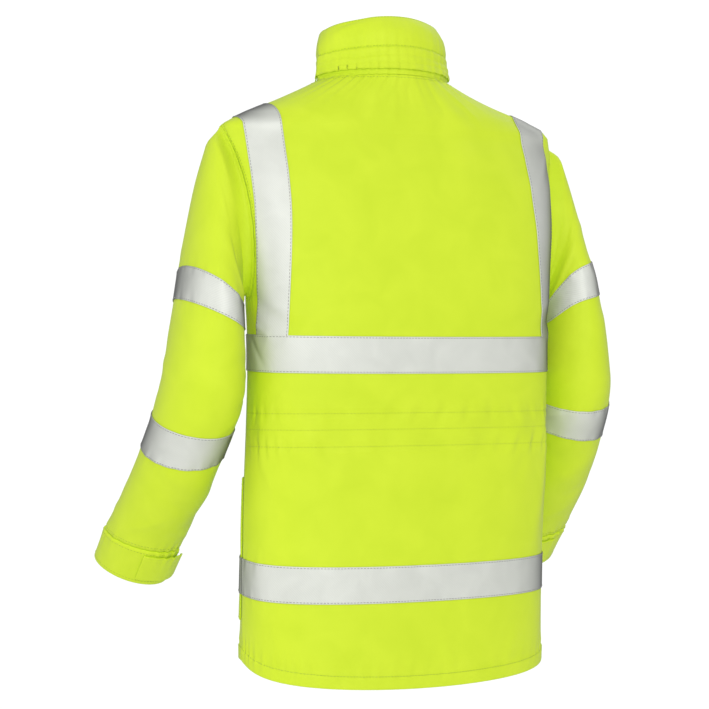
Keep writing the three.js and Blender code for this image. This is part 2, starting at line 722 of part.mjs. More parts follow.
// Braces: tape from the chest band at the back, over the shoulder, to the one in front.
// A strip one tape wide follows the path, and cuts the brace out of the panels' points moved out.
const BRACE_PATH = table(
  ['side', 'height', 'x'],
  [
    [1, -366, 206],
    [1, -300, 205.5],
    [1, -240, 204.5],
    [1, -190, 203.5],
    [1, -145, 203],
    [1, -108, 202.5],
    [1, -84, 202],
    [1, -64, 201.5],
    [0, -48, 201],
    [-1, -66, 198],
    [-1, -90, 191],
    [-1, -118, 183],
    [-1, -150, 177],
    [-1, -190, 170],
    [-1, -240, 163],
    [-1, -300, 158],
    [-1, -366, 155],
  ],
);
const BRACE_CUT_DEPTH = 14;
const SEAM_ANGLE_LIMIT = 0.01;

const SHOULDER_TIP_HEIGHT = -75;

function shoulderHeightAt(x) {
  return lastWhere((height) => BODY_SECTIONS(height).halfWidth > x, SHOULDER_TIP_HEIGHT, 0);
}

function braceSpot({ side, height, x }) {
  if (side === 0) return bodyPlace(0, shoulderHeightAt(x));
  const turn = lastWhere((angle) => bodyPoint(angle * side, height).x > x, 0, QUARTER);
  return bodyPlace(turn * side, height);
}

function braceCutter() {
  const path = BRACE_PATH.map(braceSpot);
  return path.map(({ point, normal }, i) => {
    const before = path[Math.max(0, i - 1)].point;
    const after = path[Math.min(path.length - 1, i + 1)].point;
    const aside = after.clone().sub(before).cross(normal).normalize();
    const edge = (share) => point.clone().addScaledVector(aside, share * TAPE_WIDTH * 0.5);
    return [-1, 1].map((share) => ({ point: edge(share), normal }));
  });
}

// The rows above the chest band, run right up to the shoulder seam so that the two halves meet
function braceRows(rows) {
  const head = rowMarked(rows, 'chest band head');
  const neck = rowMarked(rows, 'neck');
  return rows.slice(head, neck + 1).map((row, i) => ({
    ...row,
    angle: Math.abs(row.angle) < SEAM_ANGLE_LIMIT ? 0 : row.angle,
    side: row.side + (i === 0 ? SEAM_GAP : 0),
    middle: row.middle + (i === 0 ? SEAM_GAP : 0),
  }));
}
const braceBack = backGrid(braceRows(BACK_ROWS));
const braceFront = braceRows(FRONT_ROWS).map((row) => frontLine(row));
const BACK_MIDDLE = BACK_COLUMNS / 2;

function brace(backHalf, frontHalf, cutter) {
  const made = (grid, low, high) => toManifold(wall(grid, low, high));
  const sheet = made(backHalf, TAPE_LOW, TAPE_HIGH).add(made(frontHalf, TAPE_LOW, TAPE_HIGH));
  return fromManifold(sheet.intersect(made(cutter, -BRACE_CUT_DEPTH, BRACE_CUT_DEPTH)));
}

// Both halves use the same places on the shoulder seam, so that they join there.
function shareSeam(backHalf, frontHalf, seamColumn) {
  braceRows(BACK_ROWS).forEach((row, i) => {
    if (row.angle === 0) backHalf[i][seamColumn] = frontHalf[i][0];
  });
  return backHalf;
}
const frontRightPlaces = mirrored(braceFront);
const backLeft = shareSeam(braceBack.map((line) => line.slice(0, BACK_MIDDLE + 1)), braceFront, 0);
const backRight = shareSeam(braceBack.map((line) => line.slice(BACK_MIDDLE)), frontRightPlaces, BACK_MIDDLE);
const leftCutter = braceCutter();
addPiece('brace_left', brace(backLeft, braceFront, leftCutter), SILVER);
addPiece('brace_right', brace(backRight, frontRightPlaces, mirrored(leftCutter)), SILVER);

// Zip: the closed chain runs up the middle of the front, from the hem to the collar's top.
const CHAIN_HALF_THICKNESS = 1.1;
const middleLine = [
  ...frontPlaces.map((line) => line[FRONT_COLUMNS]),
  ...collarPlaces.map((line) => line[0]),
];
const chainPlaces = middleLine.map(({ point, normal }) => [-1, 0, 1].map((share) => ({
  point: new THREE.Vector3(share * ZIP_HALF_WIDTH, point.y, point.z),
  normal: new THREE.Vector3(0, normal.y, normal.z).normalize(),
})));
addPiece('zip_chain', wall(chainPlaces, -CHAIN_HALF_THICKNESS, CHAIN_HALF_THICKNESS), ZIP_PLASTIC);

// Slider and pull tab, near the top of the closed zip. In their own frame,
// x is across, y runs up the chain and z stands out from it.
const SLIDER = { rise: 0.8, width: 9, length: 13, back: 1.7, front: 3.2, lugAt: 3.2, lugThick: 1 };
const LUG = { length: 3.6, overlap: 0.5, roof: 0.9 };
const ROD_SIDES = 20;
const PLATE_ROUND = 0.4;
const PLATE_SEGMENTS = 6;
const PIN = { height: 6.3, radius: 0.9, hole: 1.3 };
const PULL = { eyeRadius: 2.6, eyeWidth: 4.6, thick: 1.6, width: 8, neckEnd: 5, length: 27 };

function block(width, length, low, high, x = 0, y = 0) {
  return new THREE.BoxGeometry(width, length, high - low).translate(x, y, (low + high) / 2);
}

function acrossRod(radius, length, height) {
  return new THREE.CylinderGeometry(radius, radius, length, ROD_SIDES)
    .rotateZ(QUARTER)
    .translate(0, 0, height);
}

function roundedPlate(width, foot, head, low, high) {
  const outline = new THREE.Shape();
  const round = width * PLATE_ROUND;
  outline.moveTo(-width / 2, head);
  outline.lineTo(-width / 2, foot + round);
  outline.quadraticCurveTo(-width / 2, foot, -width / 2 + round, foot);
  outline.lineTo(width / 2 - round, foot);
  outline.quadraticCurveTo(width / 2, foot, width / 2, foot + round);
  outline.lineTo(width / 2, head);
  const shape = { depth: high - low, bevelEnabled: false, curveSegments: PLATE_SEGMENTS };
  return new THREE.ExtrudeGeometry(outline, shape).translate(0, 0, low);
}

function joined(...geometries) {
  const [first, ...rest] = geometries.map(toManifold);
  return rest.reduce((all, next) => all.add(next), first);
}

const lugTop = PIN.height + PIN.radius + LUG.roof;
const lugFoot = SLIDER.front - LUG.overlap;
const sliderBody = joined(
  roundedPlate(SLIDER.width, -SLIDER.length / 2, SLIDER.length / 2, SLIDER.back, SLIDER.front),
  block(SLIDER.lugThick, LUG.length, lugFoot, lugTop, -SLIDER.lugAt),
  block(SLIDER.lugThick, LUG.length, lugFoot, lugTop, SLIDER.lugAt),
  acrossRod(PIN.radius, 2 * SLIDER.lugAt, PIN.height),
);
const pullLow = PIN.height - PULL.thick / 2;
const pullHigh = PIN.height + PULL.thick / 2;
const pullBody = joined(
  acrossRod(PULL.eyeRadius, PULL.eyeWidth, PIN.height),
  block(PULL.eyeWidth, PULL.neckEnd, pullLow, pullHigh, 0, -PULL.neckEnd / 2 - 1),
  roundedPlate(PULL.width, -PULL.length, -PULL.neckEnd, pullLow, pullHigh),
).subtract(toManifold(acrossRod(PIN.hole, PULL.width, PIN.height)));

const sliderSeat = collarPlace(-QUARTER, SLIDER.rise);
const outwards = new THREE.Vector3(0, sliderSeat.normal.y, sliderSeat.normal.z).normalize();
const sideways = new THREE.Vector3(1, 0, 0);
const zipFrame = new THREE.Group();
zipFrame.position.set(0, sliderSeat.point.y, sliderSeat.point.z);
zipFrame.quaternion.setFromRotationMatrix(
  new THREE.Matrix4().makeBasis(sideways, outwards.clone().cross(sideways), outwards),
);
jacket.add(zipFrame);
zipFrame.add(addPiece('zip_slider', fromManifold(sliderBody), ZIP_METAL));
zipFrame.add(addPiece('zip_pull', fromManifold(pullBody), ZIP_METAL));

export default jacket;
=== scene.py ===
import math

import bpy
import numpy as np
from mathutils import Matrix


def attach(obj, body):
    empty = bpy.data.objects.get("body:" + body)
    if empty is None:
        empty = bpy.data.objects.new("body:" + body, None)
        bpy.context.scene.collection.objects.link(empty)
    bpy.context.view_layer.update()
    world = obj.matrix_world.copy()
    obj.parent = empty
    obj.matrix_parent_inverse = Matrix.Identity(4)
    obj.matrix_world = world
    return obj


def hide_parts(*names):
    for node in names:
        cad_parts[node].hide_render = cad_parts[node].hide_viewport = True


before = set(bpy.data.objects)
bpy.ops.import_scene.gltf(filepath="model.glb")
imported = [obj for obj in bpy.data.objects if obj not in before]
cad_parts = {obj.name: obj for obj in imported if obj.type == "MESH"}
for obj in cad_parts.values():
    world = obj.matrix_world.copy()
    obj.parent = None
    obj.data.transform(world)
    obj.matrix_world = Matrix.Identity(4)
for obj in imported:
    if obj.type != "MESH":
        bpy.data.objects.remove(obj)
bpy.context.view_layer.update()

# Body cloth.
# The back and the two fronts are cut from one coated, fluorescent yellow cloth. Together
# they make a hollow body, a rounded box in section, that narrows over the shoulders to the neck.

MILLIMETRE = 0.001
QUARTER = math.pi / 2
SEAM_GAP = 0.3
CLOTH = 2.0
HEM_CLOTH = 3.0
FRONT_TAPER = 0.25


def smooth_table(rows):
    """A function of the first column that gives the others: a cubic through the rows whose
    slopes are the harmonic means of the steps on each side, so that it never swings past a row."""
    rows = np.array(rows, float)
    places, values = rows[:, 0], rows[:, 1:]
    steps = np.diff(values, axis=0) / np.diff(places)[:, None]
    product, total = steps[:-1] * steps[1:], steps[:-1] + steps[1:]
    inner = np.where(product > 0, 2 * product / np.where(total == 0, 1, total), 0)
    slopes = np.vstack([steps[:1], inner, steps[-1:]])

    def at(place):
        place = np.asarray(place, float)
        i = np.clip(np.searchsorted(places, place, side="right") - 1, 0, len(places) - 2)
        gap = (places[i + 1] - places[i])[..., None]
        u = (place - places[i])[..., None] / gap
        rise = values[i + 1] - values[i]
        curve_in, curve_out = slopes[i] * gap - rise, rise - slopes[i + 1] * gap
        inside = values[i] + u * rise + u * (1 - u) * ((1 - u) * curve_in + u * curve_out)
        before = values[i] + slopes[i] * u * gap
        after = values[i + 1] + slopes[i + 1] * (u - 1) * gap
        return np.where(u < 0, before, np.where(u > 1, after, inside))

    return at


# height, half width, middle, depth behind, depth in front, squareness behind and in front
BODY_SECTIONS = smooth_table([
    (-815, 218, 27, 106, 142, 2.6, 2.7),
    (-650, 217, 31, 102, 146, 2.7, 2.7),
    (-560, 218, 36, 98, 150, 2.8, 2.65),
    (-470, 217, 42, 91, 154, 2.9, 2.5),
    (-370, 216, 47, 88, 160, 3.0, 2.4),
    (-300, 219, 46, 86, 158, 3.1, 2.4),
    (-215, 226, 43, 79, 148, 3.2, 2.25),
    (-150, 234, 33, 76, 134, 2.9, 2.05),
    (-110, 240, 22, 76, 124, 2.5, 1.85),
    (-75, 243, 13, 74, 114, 2.3, 1.65),
    (-58, 214, 14, 70, 106, 2.2, 1.5),
    (-36, 162, 11, 67, 100, 2.1, 1.35),
    (-6, 97, 5, 66, 92, 2.0, 1.35),
    (3, 80, 4, 65, 90, 2.0, 1.35),
])


def body_point(angle, height):
    """A point of the plain body. Its section is a rounded box: across and along are the cosine
    and sine of the angle, divided by (|cos|^p + |sin|^p)^(1/p); the front narrows forwards."""
    angle, height = np.broadcast_arrays(np.asarray(angle, float), np.asarray(height, float))
    half_width, centre, back, front, back_power, front_power = np.moveaxis(BODY_SECTIONS(height), -1, 0)
    across, along = np.cos(angle), np.sin(angle)
    behind = along > 0
    power = np.where(behind, back_power, front_power)
    reach = (np.abs(across) ** power + np.abs(along) ** power) ** (-1 / power)
    taper = np.where(behind, 1, 1 + FRONT_TAPER * along * reach)
    depth = np.where(behind, back, front)
    return np.stack([half_width * across * reach * taper, centre + depth * along * reach, height], -1)


def unit(vectors):
    """The vectors, each divided by its own length."""
    return vectors / np.maximum(np.linalg.norm(vectors, axis=-1, keepdims=True), 1e-9)


def way_out(surface, u, v, step_u, step_v):
    """The cross product of the surface's slopes along its two parameters, one unit long."""
    along_u = surface(u + step_u, v) - surface(u - step_u, v)
    along_v = surface(u, v + step_v) - surface(u, v - step_v)
    return unit(np.cross(along_u, along_v))


# Large soft folds: where each runs, from one end to the other, its width and depth
BODY_FOLDS = [
    (40, -470, 66, -560, 16, 2.4),
    (118, -455, 96, -590, 18, -2.2),
    (150, -470, 138, -620, 16, 2.6),
    (16, -300, 44, -345, 14, -2.2),
    (165, -310, 138, -342, 14, -2.2),
    (62, -40, 74, -120, 13, 1.8),
    (112, -36, 104, -130, 14, 1.8),
    (-30, -470, -50, -600, 17, 2.6),
    (-140, -460, -128, -610, 18, 2.4),
    (-22, -290, -48, -330, 14, -2.2),
    (202, -290, 228, -330, 14, -2.2),
]
# Small creases of the same kind, laid where the cloth is caught: under the arms,
# beside the waist, below the neck, above the hem, and around the pockets in front. Two wide ones
# fill out the right shoulder and swing the left corner of the hem forwards.
BODY_CREASES = [
    (12, -330, 30, -352, 5, 0.9), (8, -352, 24, -388, 6, -1.0), (30, -310, 52, -330, 7, 0.8),
    (168, -322, 150, -350, 5, 0.9), (172, -350, 158, -384, 6, -0.9), (150, -300, 132, -322, 7, 0.7),
    (20, -500, 34, -560, 8, 1.0), (52, -498, 58, -548, 7, -0.8), (78, -500, 74, -570, 10, 0.7),
    (104, -496, 110, -556, 9, 0.8), (132, -500, 126, -540, 7, -0.8), (160, -498, 150, -566, 8, 1.0),
    (48, -26, 58, -62, 5, 0.8), (70, -14, 76, -60, 6, 0.7), (82, -8, 84, -70, 5, 0.8),
    (90, -6, 91, -52, 5, -0.7), (98, -8, 97, -76, 6, 0.8), (108, -12, 105, -58, 5, -0.7),
    (124, -22, 118, -66, 6, 0.8), (24, -86, 40, -128, 7, 0.8), (156, -90, 142, -136, 7, 0.8),
    (30, -726, 36, -772, 7, 0.9), (64, -740, 60, -786, 8, -0.8), (96, -742, 100, -790, 7, 0.9),
    (128, -738, 122, -784, 8, 0.8), (152, -728, 148, -772, 7, -0.8),
    (84, -420, 70, -445, 8, 0.6), (100, -408, 118, -446, 8, 0.7), (40, -412, 28, -444, 7, 0.7),
    (-12, -330, -30, -360, 6, -0.9), (-24, -430, -46, -520, 8, 1.0), (-60, -150, -66, -260, 12, 1.2),
    (-38, -100, -52, -170, 10, 1.1), (-70, -360, -62, -470, 11, -1.1), (-74, -500, -66, -640, 10, 1.0),
    (-168, -330, -150, -362, 6, -0.9), (-156, -430, -134, -524, 8, 1.0), (-120, -150, -113, -266, 12, 1.2),
    (154, -40, 171, -125, 20, 5.0), (-28, -690, -16, -830, 42, 4.0),
    (-142, -96, -128, -168, 10, 1.1), (-110, -380, -119, -492, 11, -1.1), (-107, -520, -114, -668, 10, 0.9),
]
FOLD_RADIUS = 170


def fold_lift(folds, angle, height):
    """How far the folds lift the cloth: each is its depth times exp(-(aside/width)^2), faded
    towards both ends by exp(-past^4), where past is 1 at an end."""
    lift = np.zeros(np.broadcast(angle, height).shape)
    for angle_a, height_a, angle_b, height_b, width, depth in folds:
        end = np.array([math.radians(angle_b - angle_a) * FOLD_RADIUS, height_b - height_a])
        turn = angle - math.radians(angle_a)
        turn = (turn - 2 * math.pi * np.round(turn / (2 * math.pi))) * FOLD_RADIUS
        rise, length = height - height_a, np.hypot(*end)
        along = (turn * end[0] + rise * end[1]) / length
        aside = (turn * end[1] - rise * end[0]) / length
        past = (along - length / 2) / (length / 2)
        lift += depth * np.exp(-(aside / width) ** 2 - past ** 4)
    return lift


# Gathers of the elastic in the waist channel, across the back only
WAIST = -470
GATHER_REACH = 26
GATHERS = 18
GATHER_DEPTH = 1.3


def gather_lift(angle, height):
    """A sine wave across the back, uneven in pitch, that is deepest at the waist and
    fades above and below it and towards the side seams."""
    on_back = np.clip(np.sin(angle), 0, None)
    wave = np.sin(GATHERS * (angle + 0.05 * np.sin(5 * angle)) + (height - WAIST) * 0.02)
    near = np.exp(-((height - WAIST) / GATHER_REACH) ** 2)
    return GATHER_DEPTH * wave * near * np.minimum(1, 2 * on_back)


def soft_noise(u, v, size_u, size_v, seed):
    """Values of about -1 to 1 on a seeded lattice of that size, eased from corner to corner."""
    lattice = np.random.default_rng(seed).uniform(-1, 1, (64, 64))
    x, y = np.broadcast_arrays(np.asarray(u) / size_u, np.asarray(v) / size_v)
    i, j = np.floor(x).astype(int), np.floor(y).astype(int)
    ease_x, ease_y = (x - i) ** 2 * (3 - 2 * (x - i)), (y - j) ** 2 * (3 - 2 * (y - j))
    corner = lambda a, b: lattice[(i + a) % 64, (j + b) % 64]
    low = corner(0, 0) * (1 - ease_x) + corner(1, 0) * ease_x
    high = corner(0, 1) * (1 - ease_x) + corner(1, 1) * ease_x
    return low * (1 - ease_y) + high * ease_y


def puckers(along, aside, spacing, depth, reach, seed):
    """Small gathers beside a sewn line: ridges across it at about that spacing, slanted and
    uneven, deepest on the line and gone at about twice reach from it."""
    lean = 0.35 * soft_noise(along, 0, 5 * spacing, 1, seed + 7)
    place = along + lean * aside + 0.5 * spacing * soft_noise(along, 0, 2.6 * spacing, 1, seed)
    wave = np.sin(2 * math.pi * place / spacing) + 0.4 * np.sin(2 * math.pi * place / (0.53 * spacing) + seed)
    strength = 0.55 + 0.45 * soft_noise(along, 0, 4 * spacing, 1, seed + 3)
    return depth * strength * wave * np.exp(-(aside / reach) ** 2)


def body_cloth(angle, height, extra=0.0):
    """The middle of the body's cloth: the plain body, lifted along its way out by the folds,
    creases and gathers, by a soft unevenness of the hand, and by anything extra."""
    angle, height = np.broadcast_arrays(np.asarray(angle, float), np.asarray(height, float))
    lift = fold_lift(BODY_FOLDS, angle, height) + fold_lift(BODY_CREASES, angle, height)
    lift = lift + gather_lift(angle, height) + extra
    lift = lift + 0.7 * soft_noise(angle * FOLD_RADIUS, height, 90, 120, 11)
    return body_point(angle, height) + way_out(body_point, angle, height, 0.01, 2) * lift[..., None]


# Heights of the sewn lines at the side seam, the middle of the back and the zip
BODY_LINES = {
    "hem": (-773, -809, -794),
    "hem stitching": (-753, -789, -774),
    "pocket foot": (-722, -738, -729),
    "lower band foot": (-687, -696, -690),
    "lower band head": (-639, -648, -642),
    "pocket head": (-535, -537, -535),
    "channel foot": (-492, -492, -492),
    "waist": (-470, -470, -470),
    "channel head": (-449, -449, -449),
    "chest band foot": (-394, -398, -394),
    "chest band head": (-346, -350, -346),
}
SHOULDER_LINES = [(-59, -42, -110), (-42, -28, -95), (-24, -13, -78), (-6.3, -0.3, -60.3)]

# The armhole is an egg on the body: its middle, half height, and the turns it reaches
ARMHOLE_MIDDLE = -187
ARMHOLE_HALF_HEIGHT = 113
ARMHOLE_BACK = math.radians(22)
ARMHOLE_FRONT = math.radians(21)


def armhole_spot(turn, widening=0.0):
    """Angle and height on the body of the egg's edge: the sine and cosine of the turn, times
    its reach and its half height, both widened by that many millimetres."""
    aside = np.sin(turn)
    reach = np.where(aside > 0, ARMHOLE_BACK + widening / 78, ARMHOLE_FRONT + widening / 140)
    return aside * reach, ARMHOLE_MIDDLE + (ARMHOLE_HALF_HEIGHT + widening) * np.cos(turn)


def panel_rows(half, spacing):
    """The panel's rows from hem to neck, as angle and height at its side edge and height in
    the middle: straight steps between the sewn lines, then round the armhole, then the shoulder."""
    column, sign = (1, 1) if half == "back" else (2, -1)
    seam = sign * SEAM_GAP / 160
    low = [(seam, line[0], line[column]) for line in BODY_LINES.values()]
    turn = math.pi * (1 - np.linspace(0, 1, 11))
    angle, height = armhole_spot(turn * sign, SEAM_GAP)
    angle = np.where(np.abs(angle) < abs(seam), seam, angle)
    head, foot = (-56 if half == "back" else -124), -300
    middle = foot + (head - foot) * (np.cos(turn) + 1) / 2
    high = [(seam, line[0], line[column]) for line in SHOULDER_LINES]
    coarse = np.array([*low, *zip(angle, height, middle), *high], float)
    rows = [coarse[:1]]
    for i, (before, after) in enumerate(zip(coarse[:-1], coarse[1:])):
        count = max(2, round(np.hypot(after[1] - before[1], 78 * (after[0] - before[0])) / spacing))
        share = np.linspace(0, 1, count + 1)[1:, None]
        part = before + (after - before) * share
        if len(low) <= i < len(low) + 10:
            exact = math.pi * (1 - (i - len(low) + share[:, 0]) / 10)
            part[:, 0], part[:, 1] = armhole_spot(exact * sign, SEAM_GAP)
            part[:, 0] = sign * np.maximum(np.abs(part[:, 0]), abs(seam))
            part[:, 2] = foot + (head - foot) * (np.cos(exact) + 1) / 2
        rows.append(part)
    return np.vstack(rows)


def across_back(rows, columns):
    """Angle and height of each place of the back: across runs from -1 to 1 between the side
    seams, and a row sags from its side height to its middle one by 1 - across^2."""
    across = np.linspace(-1, 1, columns)[None, :]
    angle = QUARTER + across * (QUARTER - rows[:, :1])
    side, middle = rows[:, 1:2], rows[:, 2:3]
    return angle, side + (middle - side) * (1 - across ** 2)


def grid_out(points, middle, ring=False):
    """The way out of a grid of points: the cross product of its slopes along rows and
    columns, turned as a whole so that it leads away from the middle."""
    if ring:
        along = np.roll(points, -1, 1) - np.roll(points, 1, 1)
    else:
        along = np.gradient(points, axis=1)
    out = unit(np.cross(along, np.gradient(points, axis=0)))
    return out if np.sum(out * (points - middle)) > 0 else -out


EDGE_STEPS = ((0.0, 0.35), (0.35, 0.8), (1.1, 1.0))


def rounded_edges(points, out, low, high, axis):
    """Adds two lines beside the first and the last one along that axis, 0.35 and 1.1 mm in,
    and thins the wall there, so that the cloth's edge is round."""
    points, out, low, high = (np.moveaxis(a, axis, 0) for a in (points, out, low, high))

    def edge(a, b):
        inwards = unit(points[b] - points[a])
        middle, half = (low[a] + high[a]) / 2, (high[a] - low[a]) / 2
        lines = [(points[a] + inwards * step, out[a], middle - half * share, middle + half * share)
                 for step, share in EDGE_STEPS]
        return [np.stack(part) for part in zip(*lines)]

    first, last = edge(0, 1), [part[::-1] for part in edge(-1, -2)]
    inner = (points[1:-1], out[1:-1], low[1:-1], high[1:-1])
    joined = [np.concatenate([f, i, l]) for f, i, l in zip(first, inner, last)]
    return [np.moveaxis(a, 0, axis) for a in joined]


def distances(points, axis):
    """Length along each line of the grid, from its start, in metres."""
    steps = np.linalg.norm(np.diff(points, axis=axis), axis=-1) * MILLIMETRE
    start = np.zeros_like(np.take(steps, [0], axis))
    return np.concatenate([start, np.cumsum(steps, axis)], axis)


def cloth_piece(name, points, out, low, high, material, ring=False, centre=False):
    """A closed wall on a grid of places: its two faces are the places moved along their way
    out by low and by high, joined round the rounded edges. UV is length along the rows and
    columns in metres, across from the middle one if centre is set."""
    low = np.broadcast_to(np.asarray(low, float), points.shape[:2]).copy()
    high = np.broadcast_to(np.asarray(high, float), points.shape[:2]).copy()
    points, out, low, high = rounded_edges(points, out, low, high, 0)
    if not ring:
        points, out, low, high = rounded_edges(points, out, low, high, 1)
    low, high = low[..., None], high[..., None]
    rows, columns = points.shape[:2]
    faces_out = np.stack([points + out * low, points + out * high])
    walk = np.concatenate([points, points[:, :1]], 1) if ring else points
    across, up = distances(walk, 1), distances(walk, 0)
    if centre:
        across = across - across[:, columns // 2:columns // 2 + 1]
    uv = np.stack([across, up], -1)

    last = columns if ring else columns - 1
    row, column = np.meshgrid(np.arange(rows - 1), np.arange(last), indexing="ij")
    corners = np.stack([[row, row, row + 1, row + 1], [column, column + 1, column + 1, column]], -1)
    corners = corners.transpose(1, 2, 0, 3).reshape(-1, 4, 2)
    along = np.arange(last)
    rise = np.arange(rows - 1)
    sides, places = [], []

    def add(side, row_and_column):
        sides.append(side)
        places.append(row_and_column)

    add(np.ones((len(corners), 4), int), corners)
    add(np.zeros((len(corners), 4), int), corners[:, ::-1])
    for at, order in ((0, (0, 0, 1, 1)), (rows - 1, (1, 1, 0, 0))):
        place = np.stack([np.full((last, 4), at), np.stack([along, along + 1, along + 1, along], -1)], -1)
        add(np.tile(order, (last, 1)), place)
    if not ring:
        for at, order in ((0, (1, 1, 0, 0)), (columns - 1, (0, 0, 1, 1))):
            place = np.stack([np.stack([rise, rise + 1, rise + 1, rise], -1), np.full((rows - 1, 4), at)], -1)
            add(np.tile(order, (rows - 1, 1)), place)
    sides, places = np.concatenate(sides), np.concatenate(places)
    index = (sides * rows + places[..., 0]) * columns + places[..., 1] % columns
    vertices = faces_out.reshape(-1, 3) * MILLIMETRE
    piece = mesh_piece(name, vertices, index, material, uv[places[..., 0], places[..., 1]])
    return piece


def mesh_piece(name, vertices, quads, material, uv=None):
    """An object of four-cornered faces, turned to face outwards by the sign of its volume,
    smooth, riding on the jacket, with its material."""
    a, b, c, d = (vertices[quads[:, i]] for i in range(4))
    volume = np.sum(a * (np.cross(b, c) + np.cross(c, d)))
    if volume < 0:
        quads = quads[:, ::-1]
        uv = None if uv is None else uv[:, ::-1]
    mesh = bpy.data.meshes.new(name)
    mesh.vertices.add(len(vertices))
    mesh.vertices.foreach_set("co", np.ascontiguousarray(vertices, np.float32).ravel())
    mesh.loops.add(quads.size)
    mesh.loops.foreach_set("vertex_index", np.ascontiguousarray(quads, np.int32).ravel())
    mesh.polygons.add(len(quads))
    mesh.polygons.foreach_set("loop_start", np.arange(0, quads.size, 4, dtype=np.int32))
    mesh.polygons.foreach_set("use_smooth", np.ones(len(quads), bool))
    if uv is not None:
        layer = mesh.uv_layers.new(name="cloth")
        layer.data.foreach_set("uv", np.ascontiguousarray(uv, np.float32).ravel())
    mesh.update(calc_edges=True)
    mesh.validate()
    mesh.materials.append(material)
    piece = bpy.data.objects.new(name, mesh)
    bpy.context.scene.collection.objects.link(piece)
    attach(piece, "jacket")
    return piece


def group_with(name, inputs, outputs):
    """A new shader node group with these named inputs (name, kind, value) and outputs."""
    group = bpy.data.node_groups.new(name, "ShaderNodeTree")
    for title, kind, value in inputs:
        socket = group.interface.new_socket(title, in_out="INPUT", socket_type=kind)
        if value is not None:
            socket.default_value = value
    for title, kind in outputs:
        group.interface.new_socket(title, in_out="OUTPUT", socket_type=kind)
    return group, group.nodes.new("NodeGroupInput"), group.nodes.new("NodeGroupOutput")


def add_node(tree, kind, links=(), **values):
    """A node of that kind, with its properties or its sockets' values set by name, and each
    pair of links joined: (socket of this node, socket that feeds it)."""
    node = tree.nodes.new(kind)
    for key, value in values.items():
        if hasattr(node, key):
            setattr(node, key, value)
        else:
            node.inputs[key.replace("_", " ")].default_value = value
    for to, source in links:
        tree.links.new(node.inputs[to], source)
    return node


def sum_of(tree, operation, a, b, c=None):
    """The output of a Math node: numbers are set on its sockets, and sockets linked."""
    node = tree.nodes.new("ShaderNodeMath")
    node.operation = operation
    for i, part in enumerate((a, b, c)):
        if part is None:
            continue
        if isinstance(part, (int, float)):
            node.inputs[i].default_value = part
        else:
            tree.links.new(node.inputs[i], part)
    return node.outputs[0]


def woven_group():
    """Woven threads on a surface measured in metres: the height of crossing warp and weft
    ribs, and a slow unevenness of the yarn."""
    group, given, made = group_with(
        "woven threads",
        [("Place", "NodeSocketVector", None), ("Thread", "NodeSocketFloat", 0.0005),
         ("Unevenness", "NodeSocketFloat", 0.3)],
        [("Height", "NodeSocketFloat"), ("Yarn", "NodeSocketFloat")],
    )
    parts = add_node(group, "ShaderNodeSeparateXYZ", [("Vector", given.outputs["Place"])])
    turn = sum_of(group, "DIVIDE", math.pi, given.outputs["Thread"])
    ribs = [sum_of(group, "SINE", sum_of(group, "MULTIPLY", parts.outputs[i], turn), 0.0) for i in (0, 1)]
    crossed = sum_of(group, "MULTIPLY", ribs[0], ribs[1])
    stretched = add_node(group, "ShaderNodeVectorMath", [(0, given.outputs["Place"])], operation="MULTIPLY")
    stretched.inputs[1].default_value = (60, 900, 1)
    yarn = add_node(group, "ShaderNodeTexNoise", [("Vector", stretched.outputs[0])], Scale=1.0, Detail=2.0)
    uneven = sum_of(group, "MULTIPLY", yarn.outputs["Fac"], given.outputs["Unevenness"])
    group.links.new(made.inputs["Height"], sum_of(group, "ADD", crossed, uneven))
    group.links.new(made.inputs["Yarn"], yarn.outputs["Fac"])
    return group


WOVEN = woven_group()


def rumple_group():
    """The rumple of handled cloth: shallow dents about the given size across, and a fainter
    set a third as large, as a height in the same units as the dents' depth."""
    group, given, made = group_with(
        "rumpled surface",
        [("Place", "NodeSocketVector", None), ("Size", "NodeSocketFloat", 0.03)],
        [("Height", "NodeSocketFloat"), ("Mottle", "NodeSocketFloat")],
    )
    pitch = sum_of(group, "DIVIDE", 1.0, given.outputs["Size"])
    large = add_node(group, "ShaderNodeTexNoise", [("Vector", given.outputs["Place"]), ("Scale", pitch)],
                     Detail=2.0, Roughness=0.45, Distortion=0.6)
    fine_pitch = sum_of(group, "MULTIPLY", pitch, 3.0)
    fine = add_node(group, "ShaderNodeTexNoise", [("Vector", given.outputs["Place"]), ("Scale", fine_pitch)],
                    Detail=1.0, Roughness=0.4, Distortion=0.3)
    height = sum_of(group, "MULTIPLY_ADD", fine.outputs["Fac"], 0.22, large.outputs["Fac"])
    group.links.new(made.inputs["Height"], height)
    group.links.new(made.inputs["Mottle"], large.outputs["Fac"])
    return group


RUMPLE = rumple_group()


def place_group(tree, group, **values):
    """A group node with some of its inputs set by name."""
    node = tree.nodes.new("ShaderNodeGroup")
    node.node_tree = group
    for key, value in values.items():
        node.inputs[key].default_value = value
    return node


def plain_material(name):
    """A new material with its Principled shader and its coordinates."""
    material = bpy.data.materials.new(name)
    material.use_nodes = True
    tree = material.node_tree
    return material, tree, tree.nodes["Principled BSDF"], tree.nodes.new("ShaderNodeTexCoord")


def colour_between(tree, share, first, second):
    """A colour mixed from the first to the second by that share."""
    mix = tree.nodes.new("ShaderNodeMix")
    mix.data_type = "RGBA"
    mix.inputs["A"].default_value = (*first, 1)
    mix.inputs["B"].default_value = (*second, 1)
    tree.links.new(mix.inputs["Factor"], share)
    return mix.outputs["Result"]


YELLOW_DEEP = (0.575, 0.755, 0.016)
YELLOW_PALE = (0.665, 0.835, 0.028)
# Painted shade: the olive that the cloth's colour is mixed towards where it turns away from the camera
YELLOW_PAINTED_EDGE_SHADE = (0.34, 0.45, 0.008)


